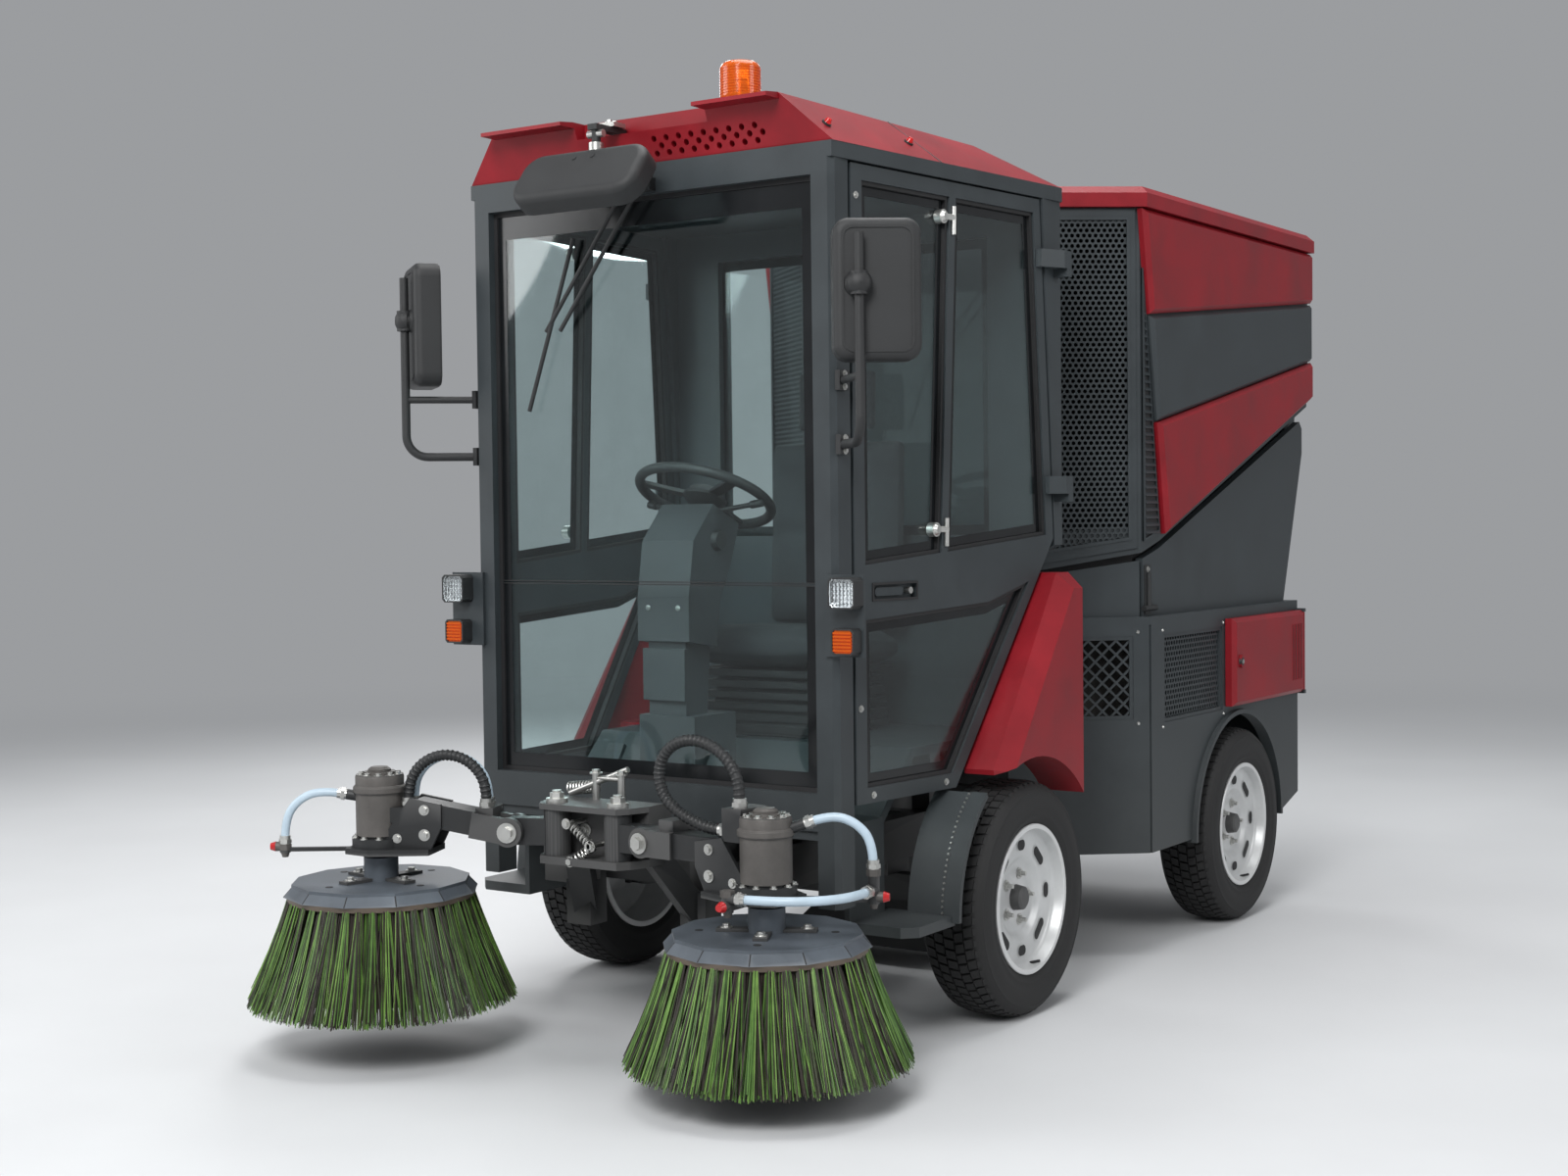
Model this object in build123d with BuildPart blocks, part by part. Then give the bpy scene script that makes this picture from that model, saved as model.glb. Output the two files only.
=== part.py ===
from build123d import *
import math
import os

os.makedirs("parts", exist_ok=True)

# Frame: origin on the floor under the middle, the sweeper faces -Y, its left side is +X, Z up, sizes in mm

# Fits
RUN = 0.06
GAP = 5

# Wheels and axles
WHEELBASE = 1600
FRONT_AXLE_Y = -430
REAR_AXLE_Y = FRONT_AXLE_Y + WHEELBASE
TYRE_R = 327
TYRE_HALF_W = 97
RIM_R = 208
SEAT_R = 199.7
SPINDLE_R = 22
FRONT_WHEEL_X = 672
REAR_WHEEL_X = 656
KINGPIN_X = 585
KINGPIN_R = 12

# Chassis
RAIL_X = 300
RAIL_W = 60
RAIL_LOW_Z = 400
RAIL_TOP_Z = 520
FRAME_FRONT_Y = -1170
FRAME_REAR_Y = 1700
TOW_BORE_R = 16
TOW_Y = 1785
TOW_LOW_Z = 365
TOW_T = 30
MOUTH_Y = 40
DUCT_R = 95
DUCT_T = 10
DUCT_TOP_Y = 300
DUCT_TOP_Z = 1185

# Cab
PILLAR_X = 598
PILLAR_W = 63
FLOOR_HALF_W = PILLAR_X - PILLAR_W - 2
FLOOR_Z = 570
FLOOR_T = 25
SEAT_DECK_Z = 735
CAB_BACK_Y = -150
CAB_BACK_T = 50
CAB_BACK_X = 695
SCREEN_Y = -1140
SCREEN_LOW_Z = 690
SCREEN_SPLIT_Z = 1218
SCREEN_TOP_Z = 2245
HEAD_Z = 2285
ROOF_LOW_Z = HEAD_Z + 40
ROOF_TOP_Z = 2450
ROOF_WALL = 25
WHEEL_AT = (0, -895, 1450)
WHEEL_TILT = 25
COLUMN_REACH = 55
MIRROR_AT = (752, -1215, 1938)
MIRROR_TURN = 38
FRONT_MIRROR_AT = (-70, -1325, 2275)
FRONT_MIRROR_LEAN = 38

# Doors
DOOR_X = 600
DOOR_Y = -1085
DOOR_SPREAD = 90 / 870
DOOR_T = 40
DOOR_LOW_Z = 655
DOOR_TOP_Z = HEAD_Z - GAP
GLASS_T = 6
GLASS_INSET = 24
HINGE_X = 725
HINGE_Y = -130
HINGE_PIN_R = 6

# Mudguards and steps
ARCH_R = 395
GUARD_X = 775
GUARD_BEVEL = 45
GUARD_BACK_Y = -135
GUARD_TOP_Z = 1222
STEP_Z = 345

# Rear body
BODY_X = 720
BODY_T = 23
BODY_LOW_Z = 325
LEDGE_Z = 1065
DECK_T = 25
PANEL_TOP_Z = LEDGE_Z - DECK_T
BODY_FRONT_Y = 178
BODY_CORNER_Y = 460
BODY_CORNER_X = 360
BODY_REAR_Y = 1755
REAR_ARCH_R = 375
HATCH_T = 36
HATCH_PIN_R = 5
HATCH_PIN_AT = (BODY_X + 20, BODY_REAR_Y - 9)

# Hopper
HOPPER_X = 690
HOPPER_WALL = 20
HOPPER_FRONT_Y = 205
HOPPER_CORNER_Y = 460
HOPPER_CORNER_X = 370
HOPPER_REAR_Y = 1940
HOPPER_TOP_Z = 2335
HOPPER_FLOOR = [(HOPPER_FRONT_Y, 1200), (600, 1300), (HOPPER_REAR_Y, 1773)]
CLAD_T = 30
LID_T = 65
GRILLE_T = 8
TIP_Y = 1870
TIP_Z = 1660
TIP_PIN_R = 24
GATE_HINGE_Y = HOPPER_REAR_Y + 22
GATE_HINGE_Z = HOPPER_TOP_Z + 33
GATE_PIN_R = 8

# Brushes
PIVOT_X = 100
PIVOT_Y = -1430
PIVOT_Z = 585
PIVOT_R = 16
LUG_LOW = (505, 525)
LUG_TOP = (645, 660)
LIFT_REACH = 120
LIFT_PIN_R = 12
ARM_LENGTH = 485
SHAFT_R = 20
MOTOR_R = 58
PLATE_R = 255
PLATE_DROP = 185
TIP_R = 348
TIP_DROP = 505
TUFTS = 28
LEFT_FORWARD = 5
RIGHT_FORWARD = 23
RIGHT_RISE = 50
HOSE_R = 11
LOOP_R = 13
NOZZLE_R = 14


def box(x0, x1, y0, y1, z0, z1):
    with BuildPart() as piece:
        with Locations(((x0 + x1) / 2, (y0 + y1) / 2, (z0 + z1) / 2)):
            Box(abs(x1 - x0), abs(y1 - y0), abs(z1 - z0))
    return piece.part


def plate_on(plane, points, thickness):
    with BuildPart() as piece:
        with BuildSketch(plane):
            with BuildLine():
                Polyline(*points, close=True)
            make_face()
        extrude(amount=thickness)
    return piece.part


def plate_yz(points, x0, x1):
    return plate_on(Plane.YZ.offset(x0), points, x1 - x0)


def plate_xz(points, y0, y1):
    return plate_on(Plane.XZ.offset(-y0), points, y0 - y1)


def plate_xy(points, z0, z1):
    return plate_on(Plane.XY.offset(z0), points, z1 - z0)


def rod(start, end, radius):
    run = Vector(*end) - Vector(*start)
    with BuildPart() as piece:
        with BuildSketch(Plane(origin=start, z_dir=run)):
            Circle(radius)
        extrude(amount=run.length)
    return piece.part


def bar(start, end, width, height):
    run = Vector(*end) - Vector(*start)
    across = run.cross(Vector(0, 0, 1))
    with BuildPart() as piece:
        with BuildSketch(Plane(origin=start, x_dir=across, z_dir=run)):
            Rectangle(width, height)
        extrude(amount=run.length)
    return piece.part


def pipe(points, bends, radius):
    with BuildPart() as piece:
        with BuildLine() as route:
            FilletPolyline(*points, radius=bends)
        with BuildSketch(Plane(origin=route.line @ 0, z_dir=route.line % 0)):
            Circle(radius)
        sweep(path=route.line)
    return piece.part


def walk(start, along, up, headings, run):
    points = [Vector(*start)]
    for heading in headings:
        turn = math.radians(heading)
        points.append(points[-1] + (Vector(*along) * math.cos(turn) + Vector(*up) * math.sin(turn)) * run)
    return points


def bends_of(points):
    bends = []
    for before, here, after in zip(points, points[1:], points[2:]):
        half_turn = math.radians((here - before).get_angle(after - here)) / 2
        bends.append(0.45 * min((here - before).length, (after - here).length) / math.tan(half_turn))
    return bends


def both_sides(solid):
    with BuildPart() as piece:
        add(solid)
        add(mirror(solid, about=Plane.YZ))
    return piece.part


def save(solid, name):
    solid.label = name
    export_step(solid, f"parts/{name}.step")


# Ladder chassis with cab mounts and a tow eye
with BuildPart() as chassis_frame:
    for side in (-1, 1):
        x0 = side * RAIL_X - RAIL_W / 2
        x1 = side * RAIL_X + RAIL_W / 2
        add(box(x0, x1, FRAME_FRONT_Y, FRAME_REAR_Y, RAIL_LOW_Z, RAIL_TOP_Z))
        for y, top in ((-1040, FLOOR_Z), (-900, FLOOR_Z), (-220, SEAT_DECK_Z)):
            add(box(x0, x1, y - 30, y + 30, RAIL_TOP_Z, top))
    for y in (-1140, -430, -150, 450, 900, 1670):
        add(box(RAIL_W / 2 - RAIL_X, RAIL_X - RAIL_W / 2, y - 30, y + 30, RAIL_LOW_Z + 20, RAIL_TOP_Z - 20))
    add(box(-60, 60, 1610, 1690, TOW_LOW_Z + TOW_T, RAIL_LOW_Z + 20))
    with BuildSketch(Plane.XY.offset(TOW_LOW_Z)):
        with Locations((0, (1610 + TOW_Y) / 2)):
            Rectangle(100, TOW_Y - 1610)
        with Locations((0, TOW_Y)):
            Circle(50)
            Circle(TOW_BORE_R, mode=Mode.SUBTRACT)
    extrude(amount=TOW_T)
save(chassis_frame.part, "chassis_frame")

# Axles and engine
with BuildPart() as front_axle:
    add(box(20 - KINGPIN_X, KINGPIN_X - 20, FRONT_AXLE_Y - 25, FRONT_AXLE_Y + 25, TYRE_R - 37, TYRE_R + 38))
    for side in (-1, 1):
        add(box(side * RAIL_X - 30, side * RAIL_X + 30, FRONT_AXLE_Y - 60, FRONT_AXLE_Y + 60, TYRE_R + 38, RAIL_LOW_Z))
        low = (side * KINGPIN_X, FRONT_AXLE_Y, TYRE_R - 42)
        top = (side * KINGPIN_X, FRONT_AXLE_Y, TYRE_R + 43)
        add(rod(low, top, 30))
        add(rod(low, top, KINGPIN_R + RUN), mode=Mode.SUBTRACT)
save(front_axle.part, "front_axle")

with BuildPart() as rear_axle:
    for x, radius in ((555, 45), (90, 110)):
        add(rod((-x, REAR_AXLE_Y, TYRE_R), (x, REAR_AXLE_Y, TYRE_R), radius))
    for side in (-1, 1):
        end_x = REAR_WHEEL_X + 60
        add(rod((side * 550, REAR_AXLE_Y, TYRE_R), (side * 590, REAR_AXLE_Y, TYRE_R), 80))
        add(rod((side * 580, REAR_AXLE_Y, TYRE_R), (side * end_x, REAR_AXLE_Y, TYRE_R), SPINDLE_R))
        add(box(side * RAIL_X - 30, side * RAIL_X + 30, REAR_AXLE_Y - 60, REAR_AXLE_Y + 60, TYRE_R, RAIL_LOW_Z))
save(rear_axle.part, "rear_axle")

with BuildPart() as engine:
    add(box(-255, 255, 950, 1600, RAIL_TOP_Z + 5, 950))
    for y in (1000, 1550):
        add(box(-RAIL_X - 25, RAIL_X + 25, y - 30, y + 30, RAIL_TOP_Z, RAIL_TOP_Z + 40))
save(engine.part, "engine")

# Suction mouth behind the front axle, with the duct up to the hopper
DUCT = [(0, MOUTH_Y, 235), (0, MOUTH_Y, 430), (0, DUCT_TOP_Y, 880), (0, DUCT_TOP_Y, DUCT_TOP_Z)]
with BuildPart() as suction:
    with BuildSketch(Plane.XY.offset(55)):
        with Locations((0, MOUTH_Y + 25)):
            Rectangle(640, 270)
    with BuildSketch(Plane.XY.offset(250)):
        with Locations((0, MOUTH_Y)):
            Rectangle(220, 200)
    loft()
    add(pipe(DUCT, 200, DUCT_R))
    add(box(RAIL_W / 2 - RAIL_X, RAIL_X - RAIL_W / 2, MOUTH_Y - 70, MOUTH_Y + 70, 440, 465))
    with BuildSketch(Plane.XY.offset(55)):
        with Locations((0, MOUTH_Y + 25)):
            Rectangle(610, 240)
    with BuildSketch(Plane.XY.offset(240)):
        with Locations((0, MOUTH_Y)):
            Rectangle(170, 170)
    loft(mode=Mode.SUBTRACT)
    add(pipe(DUCT, 200, DUCT_R - DUCT_T), mode=Mode.SUBTRACT)
save(suction.part, "suction")

# Carrier for the two brush arms, ahead of the cab
LUG_PLAN = [(-165, -1385), (-146, -1440), (-125, -1472), (125, -1472), (146, -1440), (165, -1385)]
with BuildPart() as brush_carrier:
    add(plate_yz([(-1385, LUG_LOW[0]), (-1320, LUG_LOW[0]), (-1290, 560), (-1290, 640), (-1320, LUG_TOP[1]),
                  (-1385, LUG_TOP[1])], -165, 165))
    for z0, z1 in (LUG_LOW, LUG_TOP):
        add(plate_xy(LUG_PLAN, z0, z1))
    for side in (-1, 1):
        add(bar((side * 115, -1340, 560), (side * 190, -1205, 350), 62, 62))
        add(box(side * 150, side * 232, -1240, FRAME_FRONT_Y, 300, 420))
        add(box(side * 150, side * 345, -1195, FRAME_FRONT_Y, RAIL_LOW_Z, RAIL_TOP_Z))
        add(rod((side * PIVOT_X, PIVOT_Y, 500), (side * PIVOT_X, PIVOT_Y, 665), PIVOT_R + RUN), mode=Mode.SUBTRACT)
save(brush_carrier.part, "brush_carrier")

# Cab floor, stepped up over the front wheels
with BuildPart() as cab_floor:
    add(plate_yz([
        (-1160, FLOOR_Z), (-850, FLOOR_Z), (-690, SEAT_DECK_Z), (CAB_BACK_Y, SEAT_DECK_Z),
        (CAB_BACK_Y, SEAT_DECK_Z + FLOOR_T), (-700, SEAT_DECK_Z + FLOOR_T),
        (-862, FLOOR_Z + FLOOR_T), (-1160, FLOOR_Z + FLOOR_T),
    ], -FLOOR_HALF_W, FLOOR_HALF_W))
save(cab_floor.part, "cab_floor")

# Front frame with the corner posts and the lamp plates
with BuildPart() as cab_front_frame:
    for side in (-1, 1):
        add(plate_xy([
            (side * (PILLAR_X - PILLAR_W), FRAME_FRONT_Y), (side * (PILLAR_X - 14), FRAME_FRONT_Y),
            (side * PILLAR_X, FRAME_FRONT_Y + 14), (side * PILLAR_X, -1095), (side * (PILLAR_X - PILLAR_W), -1095),
        ], RAIL_LOW_Z, HEAD_Z))
        add(box(side * 570, side * 684, FRAME_FRONT_Y - 10, FRAME_FRONT_Y, 1040, 1245))
    add(box(20 - PILLAR_X, PILLAR_X - 20, FRAME_FRONT_Y, -1100, SCREEN_TOP_Z, HEAD_Z))
    add(box(20 - PILLAR_X, PILLAR_X - 20, FRAME_FRONT_Y, -1110, FLOOR_Z + FLOOR_T, SCREEN_LOW_Z))
save(cab_front_frame.part, "cab_front_frame")

# Rear frame with its window, the leaning door posts and the hinge pins
HINGE_ZS = (1472, 2114)
with BuildPart() as cab_rear_frame:
    add(plate_xz([
        (-550, SEAT_DECK_Z), (550, SEAT_DECK_Z), (550, 1240), (CAB_BACK_X, 1300), (CAB_BACK_X, HEAD_Z),
        (-CAB_BACK_X, HEAD_Z), (-CAB_BACK_X, 1300), (-550, 1240),
    ], CAB_BACK_Y, CAB_BACK_Y + CAB_BACK_T))
    add(box(-480, 480, CAB_BACK_Y, CAB_BACK_Y + CAB_BACK_T, 1330, 2200), mode=Mode.SUBTRACT)
    for side in (-1, 1):
        add(plate_yz([(CAB_BACK_Y, 1320), (CAB_BACK_Y, HEAD_Z), (CAB_BACK_Y - 60, HEAD_Z)],
                     side * 640, side * CAB_BACK_X))
        for z in HINGE_ZS:
            add(box(side * CAB_BACK_X, side * (HINGE_X + 14), HINGE_Y - 14, HINGE_Y + 14, z - 48, z - 25.3))
            add(rod((side * HINGE_X, HINGE_Y, z - 30), (side * HINGE_X, HINGE_Y, z + 22), HINGE_PIN_R))
save(cab_rear_frame.part, "cab_rear_frame")

# Windscreen in two panes, and the rear window
with BuildPart() as cab_glass:
    for z0, z1 in ((SCREEN_LOW_Z, SCREEN_SPLIT_Z - 2), (SCREEN_SPLIT_Z + 2, SCREEN_TOP_Z)):
        add(box(PILLAR_W - PILLAR_X, PILLAR_X - PILLAR_W, SCREEN_Y, SCREEN_Y + GLASS_T, z0, z1))
    add(box(-480, 480, CAB_BACK_Y + 20, CAB_BACK_Y + 20 + GLASS_T, 1330, 2200))
save(cab_glass.part, "cab_glass")

# Roof rail, and the hollow red roof with its visor
ROOF_BACK_Y = CAB_BACK_Y + CAB_BACK_T
with BuildPart() as cab_roof_rail:
    add(plate_xy([(-PILLAR_X, FRAME_FRONT_Y), (PILLAR_X, FRAME_FRONT_Y), (702, -140), (702, ROOF_BACK_Y),
                  (-702, ROOF_BACK_Y), (-702, -140)], HEAD_Z, ROOF_LOW_Z))
save(cab_roof_rail.part, "cab_roof_rail")

ROOF_SKIN = [
    (ROOF_LOW_Z, [(-600, -1165), (600, -1165), (702, ROOF_BACK_Y), (-702, ROOF_BACK_Y)]),
    (ROOF_TOP_Z, [(-470, -1215), (470, -1215), (490, -240), (-490, -240)]),
]
ROOF_ROOM = [
    (ROOF_LOW_Z, [(-560, -1135), (560, -1135), (665, ROOF_BACK_Y - 40), (-665, ROOF_BACK_Y - 40)]),
    (ROOF_TOP_Z - ROOF_WALL, [(-440, -1135), (440, -1135), (460, -270), (-460, -270)]),
]
with BuildPart() as cab_roof:
    for levels, mode in ((ROOF_SKIN, Mode.ADD), (ROOF_ROOM, Mode.SUBTRACT)):
        for z, outline in levels:
            with BuildSketch(Plane.XY.offset(z)):
                with BuildLine():
                    Polyline(*outline, close=True)
                make_face()
        loft(mode=mode)
    for x0, x1 in ((-470, -190), (240, 470)):
        add(plate_yz([(-1215, ROOF_TOP_Z), (-1268, ROOF_TOP_Z - 6), (-1268, ROOF_TOP_Z - 16),
                      (-1200, ROOF_TOP_Z - 16), (-1200, ROOF_TOP_Z)], x0, x1))
    add(box(-190, 240, -1300, -1165, ROOF_TOP_Z - 45, ROOF_TOP_Z + 50), mode=Mode.SUBTRACT)
    for row, z in enumerate((2346, 2364, 2382)):
        for step in range(9):
            x = 60 + 40 * step + 20 * (row % 2)
            add(rod((x, -1220, z), (x, -1130, z), 8), mode=Mode.SUBTRACT)
save(cab_roof.part, "cab_roof")

with BuildPart() as beacon:
    with BuildSketch(Plane.XZ):
        with BuildLine():
            Polyline((0, 0), (60, 0), (60, 12), (50, 24), (54, 24), (54, 96), (46, 112), (30, 122), (0, 122), close=True)
        make_face()
    revolve(axis=Axis.Z)
save(beacon.part.moved(Location((270, -1090, ROOF_TOP_Z))), "beacon")

# Mirrors
with BuildPart() as front_mirror_head:
    with BuildSketch(Plane.XZ.offset(-31)):
        RectangleRounded(410, 170, 60)
    extrude(amount=62)
    fillet(front_mirror_head.faces().sort_by(Axis.Y)[0].edges(), 22)
with BuildPart() as front_mirror:
    add(front_mirror_head.part.moved(Location(FRONT_MIRROR_AT, (-FRONT_MIRROR_LEAN, 0, 0))))
    add(box(-75, -45, -1295, -1168, ROOF_TOP_Z - 45, ROOF_TOP_Z - 30))
    add(rod((-60, -1278, ROOF_TOP_Z - 35), (-60, -1278, 2325), 12))
save(front_mirror.part, "front_mirror")

with BuildPart() as mirror_head:
    with BuildSketch(Plane.XZ.offset(-35)):
        RectangleRounded(215, 345, 38)
    extrude(amount=70)
    fillet(mirror_head.faces().sort_by(Axis.Y)[0].edges(), 20)
mirror_place = Location(MIRROR_AT, (0, 0, MIRROR_TURN))
tube_x, tube_y, _ = tuple((mirror_place * Location((-48, -55, 0))).position)
ball_x, ball_y, _ = tuple((mirror_place * Location((-48, -25, 0))).position)
with BuildPart() as left_mirror:
    add(mirror_head.part.moved(mirror_place))
    add(pipe([(606, -1142, 1570), (tube_x, tube_y, 1570), (tube_x, tube_y, 2070)], 60, 12))
    add(rod((606, -1142, 1730), (tube_x, tube_y, 1730), 10))
    add(rod((tube_x, tube_y, 1950), (ball_x, ball_y, 1950), 22))
    for z in (1570, 1730):
        add(box(PILLAR_X, PILLAR_X + 14, -1165, -1119, z - 25, z + 25))
save(both_sides(left_mirror.part), "side_mirrors")

with BuildPart() as wipers:
    add(box(-70, 50, -1195, FRAME_FRONT_Y, 2250, 2284))
    for x in (-40, 10):
        add(rod((x, -1183, 2268), (x - 300, -1160, 1905), 6))
    add(rod((-240, -1160, 2150), (-405, -1160, 1690), 6))
save(wipers.part, "wipers")

with BuildPart() as left_lamps:
    with BuildSketch(Plane.XZ.offset(10 - FRAME_FRONT_Y)):
        with Locations((645, 1200)):
            RectangleRounded(78, 78, 12)
        with Locations((645, 1080)):
            RectangleRounded(66, 66, 8)
    extrude(amount=50)
    add(box(560, 660, BODY_REAR_Y, BODY_REAR_Y + 25, 560, 800))
save(both_sides(left_lamps.part), "lamps")

# Steering column with pedals, steering wheel and seat
lean = math.radians(WHEEL_TILT)
column_y = WHEEL_AT[1] - COLUMN_REACH * math.sin(lean)
column_z = WHEEL_AT[2] - COLUMN_REACH * math.cos(lean)
cab_floor_z = FLOOR_Z + FLOOR_T
with BuildPart() as driver_controls:
    add(box(-85, 100, -1095, -905, cab_floor_z, 860))
    add(plate_yz([(-1080, 840), (-985, 840), (-965, 1090), (-1080, 1090)], -62, 62))
    add(plate_yz([
        (-1095, 1060), (-970, 1040), (-950, 1170), (-900, 1260),
        (column_y + 66 * math.cos(lean), column_z - 66 * math.sin(lean)),
        (column_y - 66 * math.cos(lean), column_z + 66 * math.sin(lean)), (-1070, 1330), (-1095, 1180),
    ], -86, 86))
    for x0, x1 in ((110, 165), (-165, -110), (-245, -190)):
        add(plate_yz([(-1060, cab_floor_z), (-1045, cab_floor_z), (-1068, 690), (-1020, 760), (-1030, 768), (-1085, 690)],
                     x0, x1))
save(driver_controls.part, "driver_controls")

with BuildPart() as steering_wheel:
    with BuildSketch(Plane.YZ):
        with Locations((-186, 0)):
            Circle(14)
    revolve(axis=Axis.Z)
    for turn in (90, 210, 330):
        add(bar((0, 0, -6), (180 * math.cos(math.radians(turn)), 180 * math.sin(math.radians(turn)), 0), 30, 10))
    add(rod((0, 0, -14), (0, 0, 16), 48))
    add(rod((0, 0, -COLUMN_REACH), (0, 0, -10), 24))
save(steering_wheel.part.moved(Location(WHEEL_AT, (-WHEEL_TILT, 0, 0))), "steering_wheel")

seat_floor_z = SEAT_DECK_Z + FLOOR_T
with BuildPart() as seat:
    add(plate_yz([(-640, seat_floor_z), (-290, seat_floor_z), (-330, 965), (-600, 965)], -180, 180))
    add(plate_yz([(-705, 975), (-690, 955), (-250, 955), (-240, 1060), (-680, 1085), (-705, 1065)], -240, 240))
    add(plate_yz([(-275, 1030), (-185, 1030), (-165, 1500), (-185, 1620), (-235, 1620), (-262, 1400)], -235, 235))
    add(plate_yz([(-245, 1640), (-180, 1640), (-180, 1815), (-225, 1830), (-248, 1800)], -135, 135))
    for x in (-70, 55):
        add(box(x, x + 15, -222, -200, 1600, 1660))
save(seat.part, "seat")

# Doors, hung at their rear edge and spread towards the back
door_turn = math.atan(DOOR_SPREAD)
DOOR_PLANE = Plane(
    origin=(DOOR_X, DOOR_Y, 0),
    x_dir=(math.sin(door_turn), math.cos(door_turn), 0),
    z_dir=(math.cos(door_turn), -math.sin(door_turn), 0),
)
DOOR_OUTLINE = [(0, DOOR_LOW_Z), (437, DOOR_LOW_Z), (930, 1320), (870, DOOR_TOP_Z), (0, DOOR_TOP_Z)]
DOOR_WINDOWS = [
    [(45, 1265), (378, 1290), (430, DOOR_TOP_Z - 40), (45, DOOR_TOP_Z - 40)],
    [(408, 1292), (893, 1330), (838, DOOR_TOP_Z - 40), (460, DOOR_TOP_Z - 40)],
    [(45, DOOR_LOW_Z + 40), (420, DOOR_LOW_Z + 40), (800, 1200), (600, 1150), (45, 1125)],
]
with BuildPart() as door_left:
    with BuildSketch(DOOR_PLANE):
        with BuildLine():
            Polyline(*DOOR_OUTLINE, close=True)
        make_face()
        for window in DOOR_WINDOWS:
            with BuildLine():
                Polyline(*window, close=True)
            make_face(mode=Mode.SUBTRACT)
    extrude(amount=-DOOR_T)
    with BuildSketch(DOOR_PLANE):
        with Locations((170, 1195)):
            RectangleRounded(190, 46, 14)
    extrude(amount=-14, mode=Mode.SUBTRACT)
    with BuildSketch(DOOR_PLANE.offset(-14)):
        with Locations((150, 1195)):
            RectangleRounded(120, 22, 9)
    extrude(amount=10)
    for z, leaf_y in zip(HINGE_ZS, (-187, -226)):
        add(plate_xy([
            (680, leaf_y - 13), (705, leaf_y - 13), (HINGE_X + 14, -160), (HINGE_X + 14, HINGE_Y + 14),
            (HINGE_X - 14, HINGE_Y + 14), (703, -140), (703, leaf_y + 9), (680, leaf_y + 9),
        ], z - 25, z + 25))
        add(rod((HINGE_X, HINGE_Y, z - 30), (HINGE_X, HINGE_Y, z + 30), HINGE_PIN_R + RUN), mode=Mode.SUBTRACT)
save(door_left.part, "door_left")
save(mirror(door_left.part, about=Plane.YZ), "door_right")

with BuildPart() as door_glass_left:
    with BuildSketch(DOOR_PLANE.offset(-GLASS_INSET)):
        for window in DOOR_WINDOWS:
            with BuildLine():
                Polyline(*window, close=True)
            make_face()
    extrude(amount=GLASS_T)
save(door_glass_left.part, "door_glass_left")
save(mirror(door_glass_left.part, about=Plane.YZ), "door_glass_right")

# Red mudguards with a bevelled outer edge, hung on the seat deck
GUARD_FACE = [(-597, 700), (-575, 600), (GUARD_BACK_Y, 500), (GUARD_BACK_Y, GUARD_TOP_Z), (-212, GUARD_TOP_Z)]
GUARD_RIM = [(-557, 692), (-545, 600), (GUARD_BACK_Y, 500), (GUARD_BACK_Y, GUARD_TOP_Z - GUARD_BEVEL),
             (-190, GUARD_TOP_Z - GUARD_BEVEL)]
with BuildPart() as mudguard:
    add(plate_yz(GUARD_FACE, 640, GUARD_X - GUARD_BEVEL))
    for x, outline in ((GUARD_X - GUARD_BEVEL, GUARD_FACE), (GUARD_X, GUARD_RIM)):
        with BuildSketch(Plane.YZ.offset(x)):
            with BuildLine():
                Polyline(*outline, close=True)
            make_face()
    loft(ruled=True)
    add(rod((630, FRONT_AXLE_Y, TYRE_R), (800, FRONT_AXLE_Y, TYRE_R), ARCH_R), mode=Mode.SUBTRACT)
    add(box(FLOOR_HALF_W, 650, -480, CAB_BACK_Y - GAP, SEAT_DECK_Z, SEAT_DECK_Z + FLOOR_T))
save(both_sides(mudguard.part), "mudguards")

# Steps with the wheel aprons behind them
with BuildPart() as step:
    with BuildSketch(Plane.YZ.offset(600)):
        with BuildLine():
            outer = CenterArc((FRONT_AXLE_Y, TYRE_R), ARCH_R + 14, 128, 52)
            inner = CenterArc((FRONT_AXLE_Y, TYRE_R), ARCH_R, 128, 52)
            Line(outer @ 0, inner @ 0)
            Line(outer @ 1, inner @ 1)
        make_face()
    extrude(amount=155)
    add(plate_xy([(FLOOR_HALF_W, -1045), (700, -1045), (735, -1010), (735, -826), (FLOOR_HALF_W, -826)],
                 STEP_Z - 27, STEP_Z))
    add(box(FLOOR_HALF_W, FLOOR_HALF_W + 15, -1045, -870, STEP_Z - 27, FLOOR_Z + FLOOR_T))
save(both_sides(step.part), "steps")

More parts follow.
